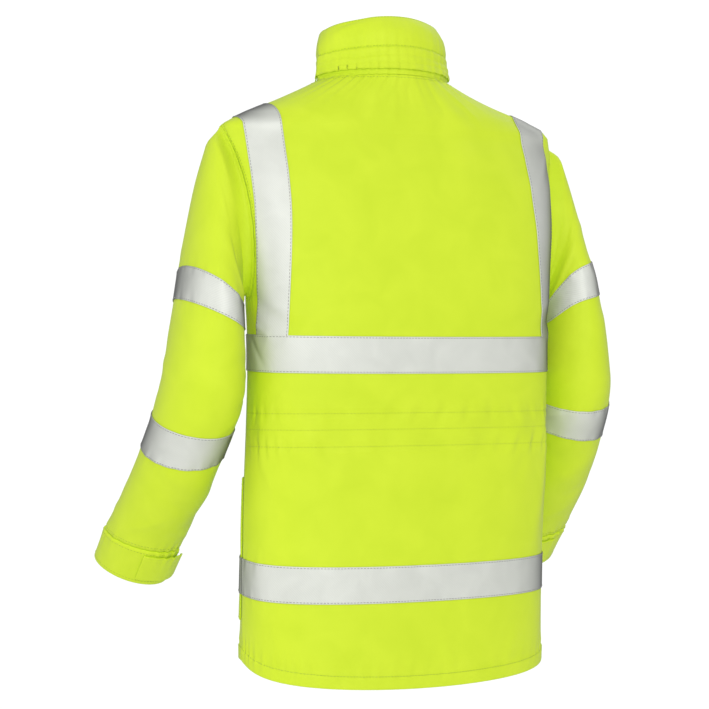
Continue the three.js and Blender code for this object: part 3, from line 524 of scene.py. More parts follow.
def yellow_cloth(name, thread=0.00045, rumple=0.0011):
    """Coated fluorescent cloth: fine crossed threads and shallow rumples as bumps, a slow
    change of colour with them, painted shade in olive where it turns away from the camera,
    and a small painted glow in its own colour that stands in for its fluorescence."""
    material, tree, shader, place = plain_material(name)
    weave = place_group(tree, WOVEN, Thread=thread, Unevenness=0.5)
    tree.links.new(weave.inputs["Place"], place.outputs["UV"])
    dents = place_group(tree, RUMPLE, Size=0.045)
    tree.links.new(dents.inputs["Place"], place.outputs["Object"])
    # Painted shade: the further the cloth turns away from the camera, the more its colour goes to olive, darkening
    # its outline.
    facing = add_node(tree, "ShaderNodeLayerWeight", Blend=0.5)
    turned = sum_of(tree, "MULTIPLY", sum_of(tree, "POWER", facing.outputs["Facing"], 2.5), 0.7)
    front = colour_between(tree, dents.outputs["Mottle"], YELLOW_DEEP, YELLOW_PALE)
    colour = colour_between(tree, turned, YELLOW_DEEP, YELLOW_PAINTED_EDGE_SHADE)
    tree.links.new(colour.node.inputs["A"], front)
    tree.links.new(shader.inputs["Base Color"], colour)
    # Painted glow: the cloth sends out a little light in its own colour, painted shade included, standing in for
    # its fluorescence and flattening its shading.
    tree.links.new(shader.inputs["Emission Color"], colour)
    shader.inputs["Emission Strength"].default_value = 0.06
    rough = sum_of(tree, "MULTIPLY_ADD", weave.outputs["Yarn"], 0.14, 0.5)
    tree.links.new(shader.inputs["Roughness"], rough)
    shader.inputs["Sheen Weight"].default_value = 0.08
    shader.inputs["Specular IOR Level"].default_value = 0.3
    low = add_node(tree, "ShaderNodeBump", [("Height", dents.outputs["Height"])], Strength=0.35, Distance=rumple)
    fine = add_node(tree, "ShaderNodeBump", [("Height", weave.outputs["Height"]), ("Normal", low.outputs[0])],
                    Strength=0.25, Distance=0.00012)
    tree.links.new(shader.inputs["Normal"], fine.outputs[0])
    return material


SHELL = yellow_cloth("coated_yellow_cloth")


def line_height(name, angle):
    """Height of a sewn line at that angle: from its side height to its middle one by
    1 - across^2 behind, and by across^1.5 in front."""
    side, back, front = BODY_LINES[name]
    behind = np.sin(angle) > 0
    from_side = np.arctan2(np.abs(np.sin(angle)), np.abs(np.cos(angle))) / QUARTER
    rise = np.where(behind, 1 - (1 - from_side) ** 2, from_side ** 1.5)
    return side + (np.where(behind, back, front) - side) * rise


# Sewn lines that draw the cloth in: pitch and depth of the puckers, how far they reach, and
# the depth of the groove under the thread
DRAWN_LINES = {
    "hem stitching": (17, 1.2, 12, 1.0),
    "channel foot": (24, 1.2, 12, 1.2),
    "waist": (31, 0.5, 9, 0.7),
    "channel head": (26, 1.2, 12, 1.2),
    "lower band foot": (34, 0.3, 12, 0.0),
    "lower band head": (38, 0.35, 14, 0.0),
    "chest band foot": (40, 0.3, 14, 0.0),
    "chest band head": (36, 0.25, 12, 0.0),
}
GROOVE_WIDTH = 2.2


def sewn_lift(angle, height):
    """What the seams do to the body's cloth: puckers and a groove at every drawn line, and
    puckers below the neck seam and round the armholes."""
    along = angle * FOLD_RADIUS
    lift = np.zeros(np.broadcast(angle, height).shape)
    for seed, (name, (pitch, depth, reach, groove)) in enumerate(DRAWN_LINES.items()):
        if name in ("waist", "channel foot", "channel head"):
            share = np.clip(4 * np.sin(angle), 0, 1)
        else:
            share = 1.0
        aside = height - line_height(name, angle)
        lift += share * puckers(along, aside, pitch, depth, reach, 20 + seed)
        lift -= share * groove * np.exp(-(aside / GROOVE_WIDTH) ** 2)
    neck = height - np.where(np.sin(angle) > 0, 0, -60 * np.clip(-np.sin(angle), 0, 1) ** 1.5)
    lift += puckers(along * 0.5, neck, 13, 0.7, 26, 41)
    from_side = np.arctan2(np.sin(angle), np.abs(np.cos(angle)))
    wide = np.where(from_side > 0, ARMHOLE_BACK, ARMHOLE_FRONT)
    up = (height - ARMHOLE_MIDDLE) / ARMHOLE_HALF_HEIGHT
    ring = (np.hypot(from_side / wide, up) - 1) * 60
    round_ring = np.arctan2(from_side / wide, up) * 85
    lift += puckers(round_ring, ring, 15, 0.5, 10, 57) - 0.9 * np.exp(-((ring - 2.5) / 2.5) ** 2)
    return lift


def body_place(angle, height):
    """Middle and way out of the finished body cloth at any angle and height."""
    return body_cloth(angle, height, sewn_lift(angle, height)), way_out(body_point, angle, height, 0.01, 2)


def body_middle(points):
    """The line up the middle of the body, at each point's own height."""
    return np.stack([np.zeros(points.shape[:-1]), np.full(points.shape[:-1], 25.0), points[..., 2]], -1)


# Back panel.
# One piece from the neck seam to the hem and from side seam to side seam. Its lower edge is
# turned up and sewn down, and a strip sewn inside makes the waist channel.

BACK_COLUMNS = 190
BACK_SPACING = 4.4


def hem_cloth(height, angle):
    """The outer face's distance from the middle of the cloth: a step up below the stitching."""
    below = 1 / (1 + np.exp((height - line_height("hem stitching", angle)) / 1.2))
    return CLOTH / 2 + (HEM_CLOTH - CLOTH) * below


back_angle, back_height = across_back(panel_rows("back", BACK_SPACING), BACK_COLUMNS)
back_angle = np.broadcast_to(back_angle, back_height.shape)
back_points, back_out = body_place(back_angle, back_height)
back_out = grid_out(back_points, body_middle(back_points))
back_panel = cloth_piece("jacket_back", back_points, back_out, -CLOTH / 2,
                         hem_cloth(back_height, back_angle), SHELL, centre=True)
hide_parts("back_panel")


# Fronts.
# Left and right front: from the side seam to the zip, with the same turned-up hem.

FRONT_COLUMNS = 74
FRONT_SPACING = 5.5
ZIP_HALF_WIDTH = 3.0
ZIP_EDGE = ZIP_HALF_WIDTH + SEAM_GAP


def angle_at_zip(height, x=ZIP_EDGE):
    """The angle in front where the plain body is x from the middle, found by halving."""
    low, high = np.full(np.shape(height), -QUARTER), np.full(np.shape(height), -QUARTER / 2)
    for _ in range(30):
        middle = (low + high) / 2
        beyond = body_point(middle, height)[..., 0] > x
        low, high = np.where(beyond, low, middle), np.where(beyond, middle, high)
    return low


def across_front(rows, shares):
    """Angle and height of each place of the left front: shares run from 0 at the side seam to
    1 at the zip, and a row goes from its side height to its middle one by share^1.5."""
    end = angle_at_zip(rows[:, 2:3])
    angle = rows[:, :1] + (end - rows[:, :1]) * shares
    return angle, rows[:, 1:2] + (rows[:, 2:3] - rows[:, 1:2]) * shares ** 1.5


def on_side(angle, side):
    """The same place on the wearer's left (1) or right (-1)."""
    return angle if side > 0 else math.pi - angle


SIDES = {"left": 1, "right": -1}
front_rows = panel_rows("front", FRONT_SPACING)
front_angle, front_height = across_front(front_rows, np.linspace(0, 1, FRONT_COLUMNS)[None, :])
for side_name, side in SIDES.items():
    angle = on_side(front_angle, side)
    points, _ = body_place(angle, front_height)
    points[:, -1, 0] = side * ZIP_EDGE
    front = cloth_piece(f"jacket_front_{side_name}", points, grid_out(points, body_middle(points)), -CLOTH / 2,
                        hem_cloth(front_height, angle), SHELL)
    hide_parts(f"front_{side_name}")


# Sleeves.
# Each sleeve is a tube set into the armhole, bent at the elbow, with the forearm swung
# forwards. Its cloth leaves the seam on the body's slope and then turns down the arm.

# station, outer point across and up, inner point across and up, middle, depths, and turn
RING_SECTIONS = smooth_table([
    (0, 262, -97, 224.5, -304, 24, 45, 46, 0),
    (1, 274, -140, 227, -306, 24, 52, 54, 0),
    (2, 285, -192, 229, -308.5, 26, 60, 62, 0),
    (3, 295, -243, 230.5, -312, 30, 66, 68, 0),
    (4, 305, -288, 231, -333, 37, 69, 70, 3),
    (5, 316, -338, 230.5, -369, 42, 69, 70, 7),
    (6, 325, -388, 229, -408, 42, 67, 68, 12),
    (7, 331, -430, 229, -437, 31, 65, 65, 17),
    (8, 335, -470, 231, -467, 11, 61, 61, 21),
    (9, 339.5, -508, 235, -500, -13, 58, 58, 22),
    (10, 344.5, -547, 241, -546, -45, 55, 55, 22),
    (11, 348.5, -583, 248.5, -590, -81, 52, 52, 20),
    (12, 351.5, -611, 255.5, -625, -111, 50, 50, 19),
    (13, 352.5, -652, 259.5, -668, -149, 48, 48, 24),
])
# How evenly a ring falls from its outer to its inner side on each arm, as they hang differently
EVENNESS = {
    "left": smooth_table([(0, 1), (6, 1), (13, 1)]),
    "right": smooth_table([(0, 1), (1, 0.8), (2, 0.5), (3, 0.3), (4, 0.3), (5, 0.5), (6, 0.8), (7, 1), (13, 1)]),
}
INNER_FALL_POWER = 6
SLEEVE_COLUMNS = 132
CUFF_STATION = 12.0
SEAM_REACH = 3.0
SLEEVE_HEAD_ROWS = 9
# Large folds at the elbow and under the arm: station, turn, slant, width, spread, depth
SLEEVE_FOLDS = [
    (5.9, 250, 0.5, 0.32, 60, -3.6),
    (6.7, 236, -0.6, 0.3, 66, -4.2),
    (7.5, 262, 0.4, 0.3, 55, -3.2),
    (2.4, 120, 0.9, 0.4, 40, 2.4),
    (3.2, 62, -0.7, 0.45, 38, 2.2),
    (9.4, 100, 0.8, 0.42, 48, 2.2),
    (10.6, 150, -0.7, 0.4, 44, -2.2),
]
# Small creases, listed one by one and different on each arm
SLEEVE_CREASES = {
    "left": [
        (0.9, 60, 0.8, 0.16, 26, 1.0), (1.5, 96, 1.1, 0.2, 24, -1.0), (2.1, 40, -0.7, 0.18, 28, 0.9),
        (2.8, 140, 0.9, 0.16, 26, 1.1), (5.1, 150, 0.7, 0.2, 30, 1.2), (5.4, 110, -0.5, 0.16, 34, -1.0),
        (5.8, 170, 0.5, 0.14, 30, 1.2), (6.3, 205, 0.6, 0.13, 34, 1.3), (6.5, 150, -0.6, 0.15, 28, -1.0),
        (7.0, 190, 0.5, 0.13, 36, 1.3), (7.3, 120, -0.7, 0.17, 30, 0.9), (9.2, 60, 0.7, 0.2, 34, 1.0),
        (9.7, 165, -0.6, 0.16, 30, 1.1), (10.2, 90, 0.8, 0.18, 34, -1.0), (10.9, 60, -0.8, 0.2, 28, 0.9),
        (11.3, 130, 0.5, 0.14, 32, 1.0), (11.6, 200, -0.5, 0.14, 30, 0.9), (4.9, 20, 0.6, 0.2, 26, 0.8),
        (6.0, 330, 0.5, 0.18, 34, 1.0), (7.2, 300, -0.5, 0.16, 34, -1.1), (9.9, 290, 0.6, 0.2, 38, 1.0),
        (2.2, 240, 0.6, 0.2, 34, 1.0), (3.0, 300, -0.6, 0.2, 30, 0.9), (11.0, 330, 0.4, 0.16, 34, 0.8),
    ],
    "right": [
        (1.1, 72, 0.9, 0.18, 24, 1.0), (1.8, 50, -0.8, 0.17, 28, 0.8), (2.5, 110, 1.0, 0.2, 26, -1.1),
        (3.0, 160, 0.8, 0.15, 26, 1.1), (5.0, 130, -0.6, 0.2, 30, 1.0), (5.6, 172, 0.6, 0.15, 32, -1.1),
        (6.1, 140, 0.6, 0.14, 30, 1.2), (6.6, 196, -0.5, 0.14, 34, 1.2), (6.9, 100, 0.5, 0.18, 30, 0.8),
        (7.4, 160, 0.6, 0.14, 32, 1.1), (9.3, 120, -0.7, 0.18, 32, 1.0), (9.9, 70, 0.7, 0.2, 34, -0.9),
        (10.4, 180, 0.5, 0.16, 30, 1.0), (11.0, 110, 0.7, 0.16, 34, 0.9), (11.5, 50, -0.5, 0.15, 30, 0.8),
        (4.7, 60, 0.5, 0.2, 28, 0.8), (6.2, 310, -0.5, 0.18, 36, 1.0), (7.0, 280, 0.4, 0.16, 34, 1.1),
        (10.1, 250, -0.6, 0.2, 36, 0.9), (2.0, 280, 0.7, 0.2, 30, 1.0), (3.1, 220, -0.7, 0.2, 30, -0.9),
    ],
}
# Stations of the tape's two edges on each sleeve
SLEEVE_BANDS = {
    "left": {"upper": (3.35, 4.3), "lower": (7.7, 8.85)},
    "right": {"upper": (2.95, 3.95), "lower": (6.95, 8.05)},
}
# Sewn lines round the sleeve: pitch, depth, reach and groove as on the body
BAND_LINE = (26, 0.45, 10, 0.0)
CUFF_LINE = (17, 1.1, 14, 0.9)
STATION_LENGTH = 44.0
SLEEVE_RADIUS = 62.0


def ring_point(side_name, turn, station):
    """A point of the plain sleeve. It goes inwards by (1 - cos(turn))/2, falls by a mix of that
    share and its sixth power, and reaches back or forward by its leaning depth times sin(turn)."""
    turn, station = np.broadcast_arrays(np.asarray(turn, float), np.asarray(station, float))
    outer_x, outer_z, inner_x, inner_z, middle_y, back, front, lean = np.moveaxis(RING_SECTIONS(station), -1, 0)
    lean = np.radians(lean)
    depth = np.where(np.sin(turn) > 0, back, front) * np.sin(turn)
    inwards = (1 - np.cos(turn)) / 2
    even = EVENNESS[side_name](station)[..., 0]
    fall = even * inwards + (1 - even) * inwards ** INNER_FALL_POWER
    x = outer_x + (inner_x - outer_x) * inwards
    z = outer_z + (inner_z - outer_z) * fall - depth * np.sin(lean)
    return np.stack([x, middle_y + depth * np.cos(lean), z], -1)


def sleeve_lift(side_name, turn, station):
    """Folds and creases, each its depth times exp(-(along/width)^2 - (round/spread)^2), with
    puckers at the sewn lines and a soft unevenness."""
    lift = np.zeros(np.broadcast(turn, station).shape)
    for at, at_turn, slant, width, spread, depth in SLEEVE_FOLDS + SLEEVE_CREASES[side_name]:
        aside = turn - math.radians(at_turn)
        aside = aside - 2 * math.pi * np.round(aside / (2 * math.pi))
        along = station - at - slant * aside
        lift += depth * np.exp(-(along / width) ** 2 - (aside / math.radians(spread)) ** 2)
    seed = 70 if side_name == "left" else 90
    lines = [(at, *BAND_LINE) for edges in SLEEVE_BANDS[side_name].values() for at in edges]
    for i, (at, pitch, depth, reach, groove) in enumerate([*lines, (CUFF_STATION, *CUFF_LINE)]):
        aside = (station - at) * STATION_LENGTH
        lift += puckers(turn * SLEEVE_RADIUS, aside, pitch, depth, reach, seed + i)
        lift -= groove * np.exp(-(aside / GROOVE_WIDTH) ** 2)
    share = 0.5 - 0.5 * np.cos(turn)
    return lift + 0.8 * share * soft_noise(turn * SLEEVE_RADIUS, station * STATION_LENGTH, 60, 70, seed + 9)


def sleeve_place(side_name, turn, station):
    """Middle and way out of the finished sleeve cloth."""
    out = -way_out(lambda u, v: ring_point(side_name, u, v), turn, station, 0.02, 0.05)
    return ring_point(side_name, turn, station) + out * sleeve_lift(side_name, turn, station)[..., None], out


def mirrored(points, side):
    """The places as they are on the left, or with x reversed on the right."""
    return points if side > 0 else points * np.array([-1, 1, 1])


def sleeve_rows(side_name, stations):
    """Middle, way out and centre line of sleeve rings at these stations, on the left side."""
    turn = np.linspace(0, 2 * math.pi, SLEEVE_COLUMNS, endpoint=False)[None, :]
    points, out = sleeve_place(side_name, turn, np.asarray(stations, float)[:, None])
    return points, out, points.mean(1, keepdims=True)


def sleeve_head(side_name, side, first_rows):
    """Rings from the armhole to the first ring of the arm: the seam itself, and a curve that
    leaves it along the body's slope and meets the ring in the ring's own direction."""
    turn = np.linspace(0, 2 * math.pi, SLEEVE_COLUMNS, endpoint=False)
    angle, height = armhole_spot(turn)
    seam, out = body_place(on_side(angle, side), height)
    seam, out = mirrored(seam, side), mirrored(out, side)
    along = np.roll(seam, -1, 0) - np.roll(seam, 1, 0)
    away = unit(np.cross(along, out))
    inwards = np.array([225, 25, ARMHOLE_MIDDLE]) - seam
    away = np.where(np.sum(away * inwards, -1, keepdims=True) < 0, -away, away)
    start = seam + away * SEAM_REACH
    end, after = first_rows
    length = np.linalg.norm(end - start, axis=-1, keepdims=True)
    leave, arrive = away * length, unit(after - end) * length
    u = np.linspace(0, 1, SLEEVE_HEAD_ROWS)[:-1, None, None]
    curve = ((2 * u ** 3 - 3 * u ** 2 + 1) * start + (u ** 3 - 2 * u ** 2 + u) * 0.7 * leave
             + (3 * u ** 2 - 2 * u ** 3) * end + (u ** 3 - u ** 2) * 0.7 * arrive)
    return np.concatenate([seam[None], curve])


SLEEVE_STATIONS = np.concatenate([np.arange(0, 11.93, 0.085), [11.993]])
for side_name, side in SIDES.items():
    arm, _, _ = sleeve_rows(side_name, SLEEVE_STATIONS)
    points = np.concatenate([sleeve_head(side_name, side, arm[:2]), arm])
    middle = points.mean(1, keepdims=True)
    points, middle = mirrored(points, side), mirrored(middle, side)
    sleeve = cloth_piece(f"jacket_sleeve_{side_name}", points, grid_out(points, middle, ring=True),
                         -CLOTH / 2, CLOTH / 2, SHELL, ring=True)
    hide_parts(f"sleeve_{side_name}")


# Cuffs and their tabs.
# The doubled end of each sleeve stands a little proud of it. A tab is sewn to its back and
# closes towards the body, with its free end lifted.

CUFF_CLOTH = 3.0
CUFF_STEP = 0.6
CUFF_OUTER = CUFF_STEP + CUFF_CLOTH - CLOTH / 2
CUFF_STATIONS = np.linspace(CUFF_STATION, 13, 15)
TAB_FIRST, TAB_LAST = math.radians(75), math.radians(165)
TAB_HEAD, TAB_FOOT = 12.14, 12.86
TAB_CLOTH = 2.0
TAB_LIFT = 6.0

for side_name, side in SIDES.items():
    points, out, middle = sleeve_rows(side_name, CUFF_STATIONS)
    points, out = mirrored(points, side), mirrored(out, side)
    cuff = cloth_piece(f"jacket_cuff_{side_name}", points, out, -CLOTH / 2, CUFF_OUTER, SHELL, ring=True)
    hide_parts(f"cuff_{side_name}")

    share = np.linspace(0, 1, 31)[None, :]
    tab_turn = TAB_FIRST + (TAB_LAST - TAB_FIRST) * share
    corner = 0.12 * np.clip((share - 0.8) / 0.2, 0, 1) ** 2
    down = np.linspace(0, 1, 17)[:, None]
    station = TAB_HEAD + corner + (TAB_FOOT - TAB_HEAD - 2 * corner) * down
    points, out = sleeve_place(side_name, tab_turn, station)
    points, out = mirrored(points, side), mirrored(out, side)
    low = CUFF_OUTER + SEAM_GAP + TAB_LIFT * share ** 3 + 0.5 * np.sin(math.pi * share) * (1 - down)
    low = np.broadcast_to(low, station.shape)
    tab = cloth_piece(f"cuff_tab_{side_name}_cloth", points, out, low, low + TAB_CLOTH, SHELL)
    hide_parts(f"cuff_tab_{side_name}")


# Collar.
# A tall stand collar with the hood rolled up inside it. Two seams run round it, and a flap
# is sewn in halfway up and hangs over the opening that the hood comes out of.

COLLAR_COLUMNS = 210
COLLAR_CLOTH = 2.4
COLLAR_TOP_HALF_WIDTH = 82.0
COLLAR_TOP_MIDDLE = -7.0
COLLAR_TOP_BACK, COLLAR_TOP_FRONT = 55.0, 73.0
COLLAR_SIDE_TOP, COLLAR_BACK_TOP, COLLAR_FRONT_TOP = 64.0, 80.0, 38.0
HOOD_BULGE = 4.0
NECK_SIDE, NECK_FRONT = -6.0, -60.0
# Seams and creases: height as a share of the collar's, depth, width and unevenness
COLLAR_LINES = [(0.47, -1.2, 1.8, 0.006), (0.33, -1.0, 2.6, 0.02), (0.21, -0.9, 2.0, 0.012),
                (0.62, 0.5, 5.0, 0.03), (0.80, -0.4, 6.0, 0.03)]
# Creases, given one by one: angle and share of height at each end, width and depth
COLLAR_CREASES = [
    (30, 0.9, 60, 0.97, 4, -0.9), (22, 0.75, 52, 0.9, 5, 1.0), (40, 0.3, 80, 0.36, 3, -0.9),
    (14, 0.42, 48, 0.3, 4, -1.0), (168, 0.7, 140, 0.86, 5, 0.9), (172, 0.4, 130, 0.3, 4, -0.9),
    (100, 0.86, 128, 0.78, 6, 0.6), (60, 0.7, 96, 0.75, 7, 0.6), (158, 0.18, 128, 0.12, 4, 0.9),
    (20, 0.2, 50, 0.12, 4, 0.9), (-30, 0.3, -52, 0.6, 6, 1.0), (-150, 0.34, -128, 0.62, 6, 1.0),
    (-60, 0.8, -78, 0.5, 7, -0.9), (-120, 0.76, -103, 0.52, 7, -0.9),
]


def neck_place(angle):
    """The neck seam: the body's cloth at a height that rises from the side to the middle of the
    back by 1 - (1 - share)^2, and falls to the front by share^1.5."""
    from_side = np.arctan2(np.abs(np.sin(angle)), np.abs(np.cos(angle))) / QUARTER
    behind = np.sin(angle) > 0
    rise = np.where(behind, 1 - (1 - from_side) ** 2, from_side ** 1.5)
    return body_place(angle, NECK_SIDE + (np.where(behind, 0, NECK_FRONT) - NECK_SIDE) * rise)


COLLAR_START = float(angle_at_zip(np.array(NECK_FRONT)))


def collar_top(angle):
    """The upper edge: an oval, higher behind and lower in front by |sin|^1.5, whose ends are
    drawn to the zip by sin^8."""
    across, along = np.cos(angle), np.sin(angle)
    behind = along > 0
    depth = np.where(behind, COLLAR_TOP_BACK, COLLAR_TOP_FRONT)
    peak = np.where(behind, COLLAR_BACK_TOP, COLLAR_FRONT_TOP)
    height = COLLAR_SIDE_TOP + (peak - COLLAR_SIDE_TOP) * np.abs(along) ** 1.5
    end = ZIP_EDGE - COLLAR_TOP_HALF_WIDTH * math.cos(COLLAR_START)
    x = COLLAR_TOP_HALF_WIDTH * across + np.sign(across) * np.clip(-along, 0, None) ** 8 * end
    return np.stack([x, COLLAR_TOP_MIDDLE + depth * along, height], -1)


def collar_point(angle, rise):
    """A point of the plain collar: upright at its foot, and drawn in towards the top's oval by
    0.35 rise + 0.65 rise^3."""
    angle, rise = np.broadcast_arrays(angle, rise)
    foot, top = neck_place(angle)[0], collar_top(angle)
    inwards = 0.35 * rise + 0.65 * rise ** 3
    share = np.stack([inwards, inwards, rise], -1)
    return foot + (top - foot) * share


COLLAR_HEIGHT = 84.0


def collar_lift(angle, rise):
    """Seams, creases and rumples of the collar, with the fuller upper half over the hood."""
    angle, rise = np.broadcast_arrays(angle, rise)
    along = angle * 80
    lift = 0.7 * soft_noise(along, rise * COLLAR_HEIGHT, 34, 22, 131)
    for at, depth, width, uneven in COLLAR_LINES:
        aside = (rise - at - uneven * soft_noise(along, 0, 45, 1, int(at * 100))) * COLLAR_HEIGHT
        strength = 0.7 + 0.3 * soft_noise(along, 1, 30, 1, int(at * 100) + 5)
        lift = lift + depth * strength * np.exp(-(aside / width) ** 2)
    for angle_a, rise_a, angle_b, rise_b, width, depth in COLLAR_CREASES:
        end = np.array([math.radians(angle_b - angle_a) * 80, (rise_b - rise_a) * COLLAR_HEIGHT])
        turn = (angle - math.radians(angle_a) + math.pi) % (2 * math.pi) - math.pi
        here, up, length = turn * 80, (rise - rise_a) * COLLAR_HEIGHT, np.hypot(*end)
        past = ((here * end[0] + up * end[1]) / length - length / 2) / (length / 2)
        aside = (here * end[1] - up * end[0]) / length
        lift = lift + depth * np.exp(-(aside / width) ** 2 - past ** 4)
    lift = lift + puckers(along, (rise - 0.05) * COLLAR_HEIGHT, 14, 0.7, 9, 141)
    return lift + puckers(along, (rise - 0.47) * COLLAR_HEIGHT, 12, 0.3, 6, 143)


def hood_fullness(angle, rise):
    """The outer face's distance from the middle: the cloth, and the rolled hood's bulge over
    the upper half, which fades towards the front."""
    upper = np.clip(np.sin(math.pi * (rise - 0.47) / 0.56), 0, None)
    return COLLAR_CLOTH / 2 + HOOD_BULGE * upper * np.clip(0.75 + np.sin(angle), 0, 1)


def collar_grid(angle, rise):
    """Middle and way out of the finished collar."""
    out = way_out(collar_point, angle, np.clip(rise, 0.01, 0.99), 0.01, 0.01)
    return collar_point(angle, rise) + out * collar_lift(angle, rise)[..., None], out


collar_angle = np.linspace(COLLAR_START, math.pi - COLLAR_START, COLLAR_COLUMNS)[None, :]
collar_rise = np.linspace(0.09, 1, 44)[:, None]
collar_rows, _ = collar_grid(collar_angle, collar_rise)
seam, seam_out = neck_place(collar_angle)
along = np.gradient(seam, axis=1)
away = unit(np.cross(along, seam_out))
away = np.where((away * np.array([-1, -1, 60]) * np.where(np.arange(3) < 2, seam, 1)).sum(-1, keepdims=True) < 0,
                -away, away)
foot = seam + away * SEAM_REACH
collar_points = np.concatenate([seam, foot, foot * 0.5 + collar_rows[:1] * 0.5, collar_rows])
collar_points[:, 0, 0], collar_points[:, -1, 0] = ZIP_EDGE, -ZIP_EDGE
collar_out = grid_out(collar_points, collar_points.mean(1, keepdims=True))
collar_out[:, [0, -1], 0] = 0
collar_out = unit(collar_out)
rise_of_row = np.concatenate([[0, 0, 0], collar_rise[:, 0]])[:, None]
collar = cloth_piece("jacket_collar", collar_points, collar_out, -COLLAR_CLOTH / 2,
                     hood_fullness(collar_angle, rise_of_row), SHELL, centre=True)
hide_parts("collar")

# The flap's free edge stands off a little, unevenly, so that the opening shows as dark gaps
FLAP_FIRST, FLAP_LAST = 7, 29
FLAP_COLUMNS_IN_ALL = 36
FLAP_LOW, FLAP_HIGH = 0.09, 0.47
FLAP_CLOTH = 1.4
FLAP_LIFT = 1.0
FLAP_GAPS = [(0.321, 1.3), (0.44, 1.0), (0.551, 1.4), (0.73, 0.9)]
sweep = math.pi - 2 * COLLAR_START
flap_share = np.linspace(0, 1, 150)[None, :]
flap_angle = COLLAR_START + sweep * (FLAP_FIRST + (FLAP_LAST - FLAP_FIRST) * flap_share) / FLAP_COLUMNS_IN_ALL
flap_rise = np.linspace(FLAP_LOW, FLAP_HIGH, 26)[:, None]
flap_points, flap_out = collar_grid(flap_angle, flap_rise)
free = np.clip((FLAP_HIGH - flap_rise) / (FLAP_HIGH - FLAP_LOW), 0, 1)
gape = sum(height * np.exp(-((flap_share - at) / 0.02) ** 2) for at, height in FLAP_GAPS)
flap_low = COLLAR_CLOTH / 2 + SEAM_GAP + (FLAP_LIFT + gape) * free ** 3
flap = cloth_piece("hood_opening_flap", flap_points, flap_out, flap_low, flap_low + FLAP_CLOTH, SHELL,
                   centre=True)
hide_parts("collar_flap")


# Reflective tape.
# Bands of silver tape, 50 mm wide, lie on the cloth: round the chest, low down, and round the
# sleeves, with a brace over each shoulder. It is a coated film on a fine woven backing.

TAPE = 1.0
TAPE_WIDTH = 50.0
TAPE_LOW = CLOTH / 2 + SEAM_GAP
TAPE_HIGH = TAPE_LOW + TAPE
TAPE_SILVER = (0.66, 0.68, 0.625)
TAPE_PALE = (0.80, 0.82, 0.76)
# Painted dark reflection: the near black that the tape's colour is mixed towards where it turns away from the
# camera
TAPE_PAINTED_DARK_REFLECTION = (0.10, 0.105, 0.10)


def silver_tape(name):
    """Reflective tape: pale silver with a little metal in it, a faint slanting grain of its film
    and soft rumples, with glass beads that send light back. Where it turns away from the camera
    its colour is mixed towards near black: a painted dark reflection."""
    material, tree, shader, place = plain_material(name)
    parts = add_node(tree, "ShaderNodeSeparateXYZ", [("Vector", place.outputs["UV"])])
    slant = sum_of(tree, "ADD", parts.outputs["X"], parts.outputs["Y"])
    grain = sum_of(tree, "SINE", sum_of(tree, "MULTIPLY", slant, 2 * math.pi / 0.0032), 0.0)
    dents = place_group(tree, RUMPLE, Size=0.03)
    tree.links.new(dents.inputs["Place"], place.outputs["Object"])
    weave = place_group(tree, WOVEN, Thread=0.0006, Unevenness=0.4)
    tree.links.new(weave.inputs["Place"], place.outputs["UV"])
    tone = sum_of(tree, "MULTIPLY_ADD", grain, 0.13, dents.outputs["Mottle"])
    # Painted dark reflection: the further the tape turns away from the camera, the more its colour goes to near
    # black.
    facing = add_node(tree, "ShaderNodeLayerWeight", Blend=0.5)
    turned = sum_of(tree, "MULTIPLY", sum_of(tree, "POWER", facing.outputs["Facing"], 2.0), 1.5)
    film = colour_between(tree, tone, TAPE_SILVER, TAPE_PALE)
    film_with_painted_reflection = colour_between(tree, sum_of(tree, "MINIMUM", turned, 1.0), TAPE_SILVER, TAPE_PAINTED_DARK_REFLECTION)
    tree.links.new(film_with_painted_reflection.node.inputs["A"], film)
    tree.links.new(shader.inputs["Base Color"], film_with_painted_reflection)
    rough = sum_of(tree, "MULTIPLY_ADD", dents.outputs["Mottle"], 0.16, 0.42)
    tree.links.new(shader.inputs["Roughness"], rough)
    shader.inputs["Metallic"].default_value = 0.2
    shader.inputs["Specular IOR Level"].default_value = 0.4
    low = add_node(tree, "ShaderNodeBump", [("Height", dents.outputs["Height"])], Strength=0.5, Distance=0.0012)
    ribs = sum_of(tree, "MULTIPLY_ADD", weave.outputs["Height"], 0.3, grain)
    fine = add_node(tree, "ShaderNodeBump", [("Height", ribs), ("Normal", low.outputs[0])],
                    Strength=0.3, Distance=0.0001)
    tree.links.new(shader.inputs["Normal"], fine.outputs[0])
    return material


SILVER = silver_tape("reflective_tape")


def round_band(name, spacing=3.2):
    """Rows of a body band between its two sewn lines, as heights at side, back and front."""
    foot, head = np.array(BODY_LINES[f"{name} foot"], float), np.array(BODY_LINES[f"{name} head"], float)
    return foot + (head - foot) * np.linspace(0, 1, round(TAPE_WIDTH / spacing))[:, None]


def body_band(node, name, where, low=TAPE_LOW):
    """One length of a body band, on the back or on one front."""
    heights = round_band(name)
    if where == "back":
        rows = np.column_stack([np.full(len(heights), SEAM_GAP / 160), heights[:, 0], heights[:, 1]])
        angle, height = across_back(rows, BACK_COLUMNS)
    else:
        rows = np.column_stack([np.full(len(heights), -SEAM_GAP / 160), heights[:, 0], heights[:, 2]])
        angle, height = across_front(rows, np.linspace(0, 1, FRONT_COLUMNS)[None, :])
        angle = on_side(angle, SIDES[where])
    angle = np.broadcast_to(angle, height.shape)
    points, _ = body_place(angle, height)
    if where != "back":
        points[:, -1, 0] = SIDES[where] * ZIP_EDGE
    low = np.broadcast_to(low, height.shape)
    out = grid_out(points, body_middle(points))
    piece = cloth_piece(f"tape_{node}", points, out, low, low + TAPE, SILVER)
    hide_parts(node)
    return points, out, low + TAPE


tape_edges = []
tape_edges.append(body_band("chest_band_back", "chest band", "back"))
tape_edges.append(body_band("lower_band_back", "lower band", "back"))
for side_name in SIDES:
    tape_edges.append(body_band(f"chest_band_{side_name}", "chest band", side_name))

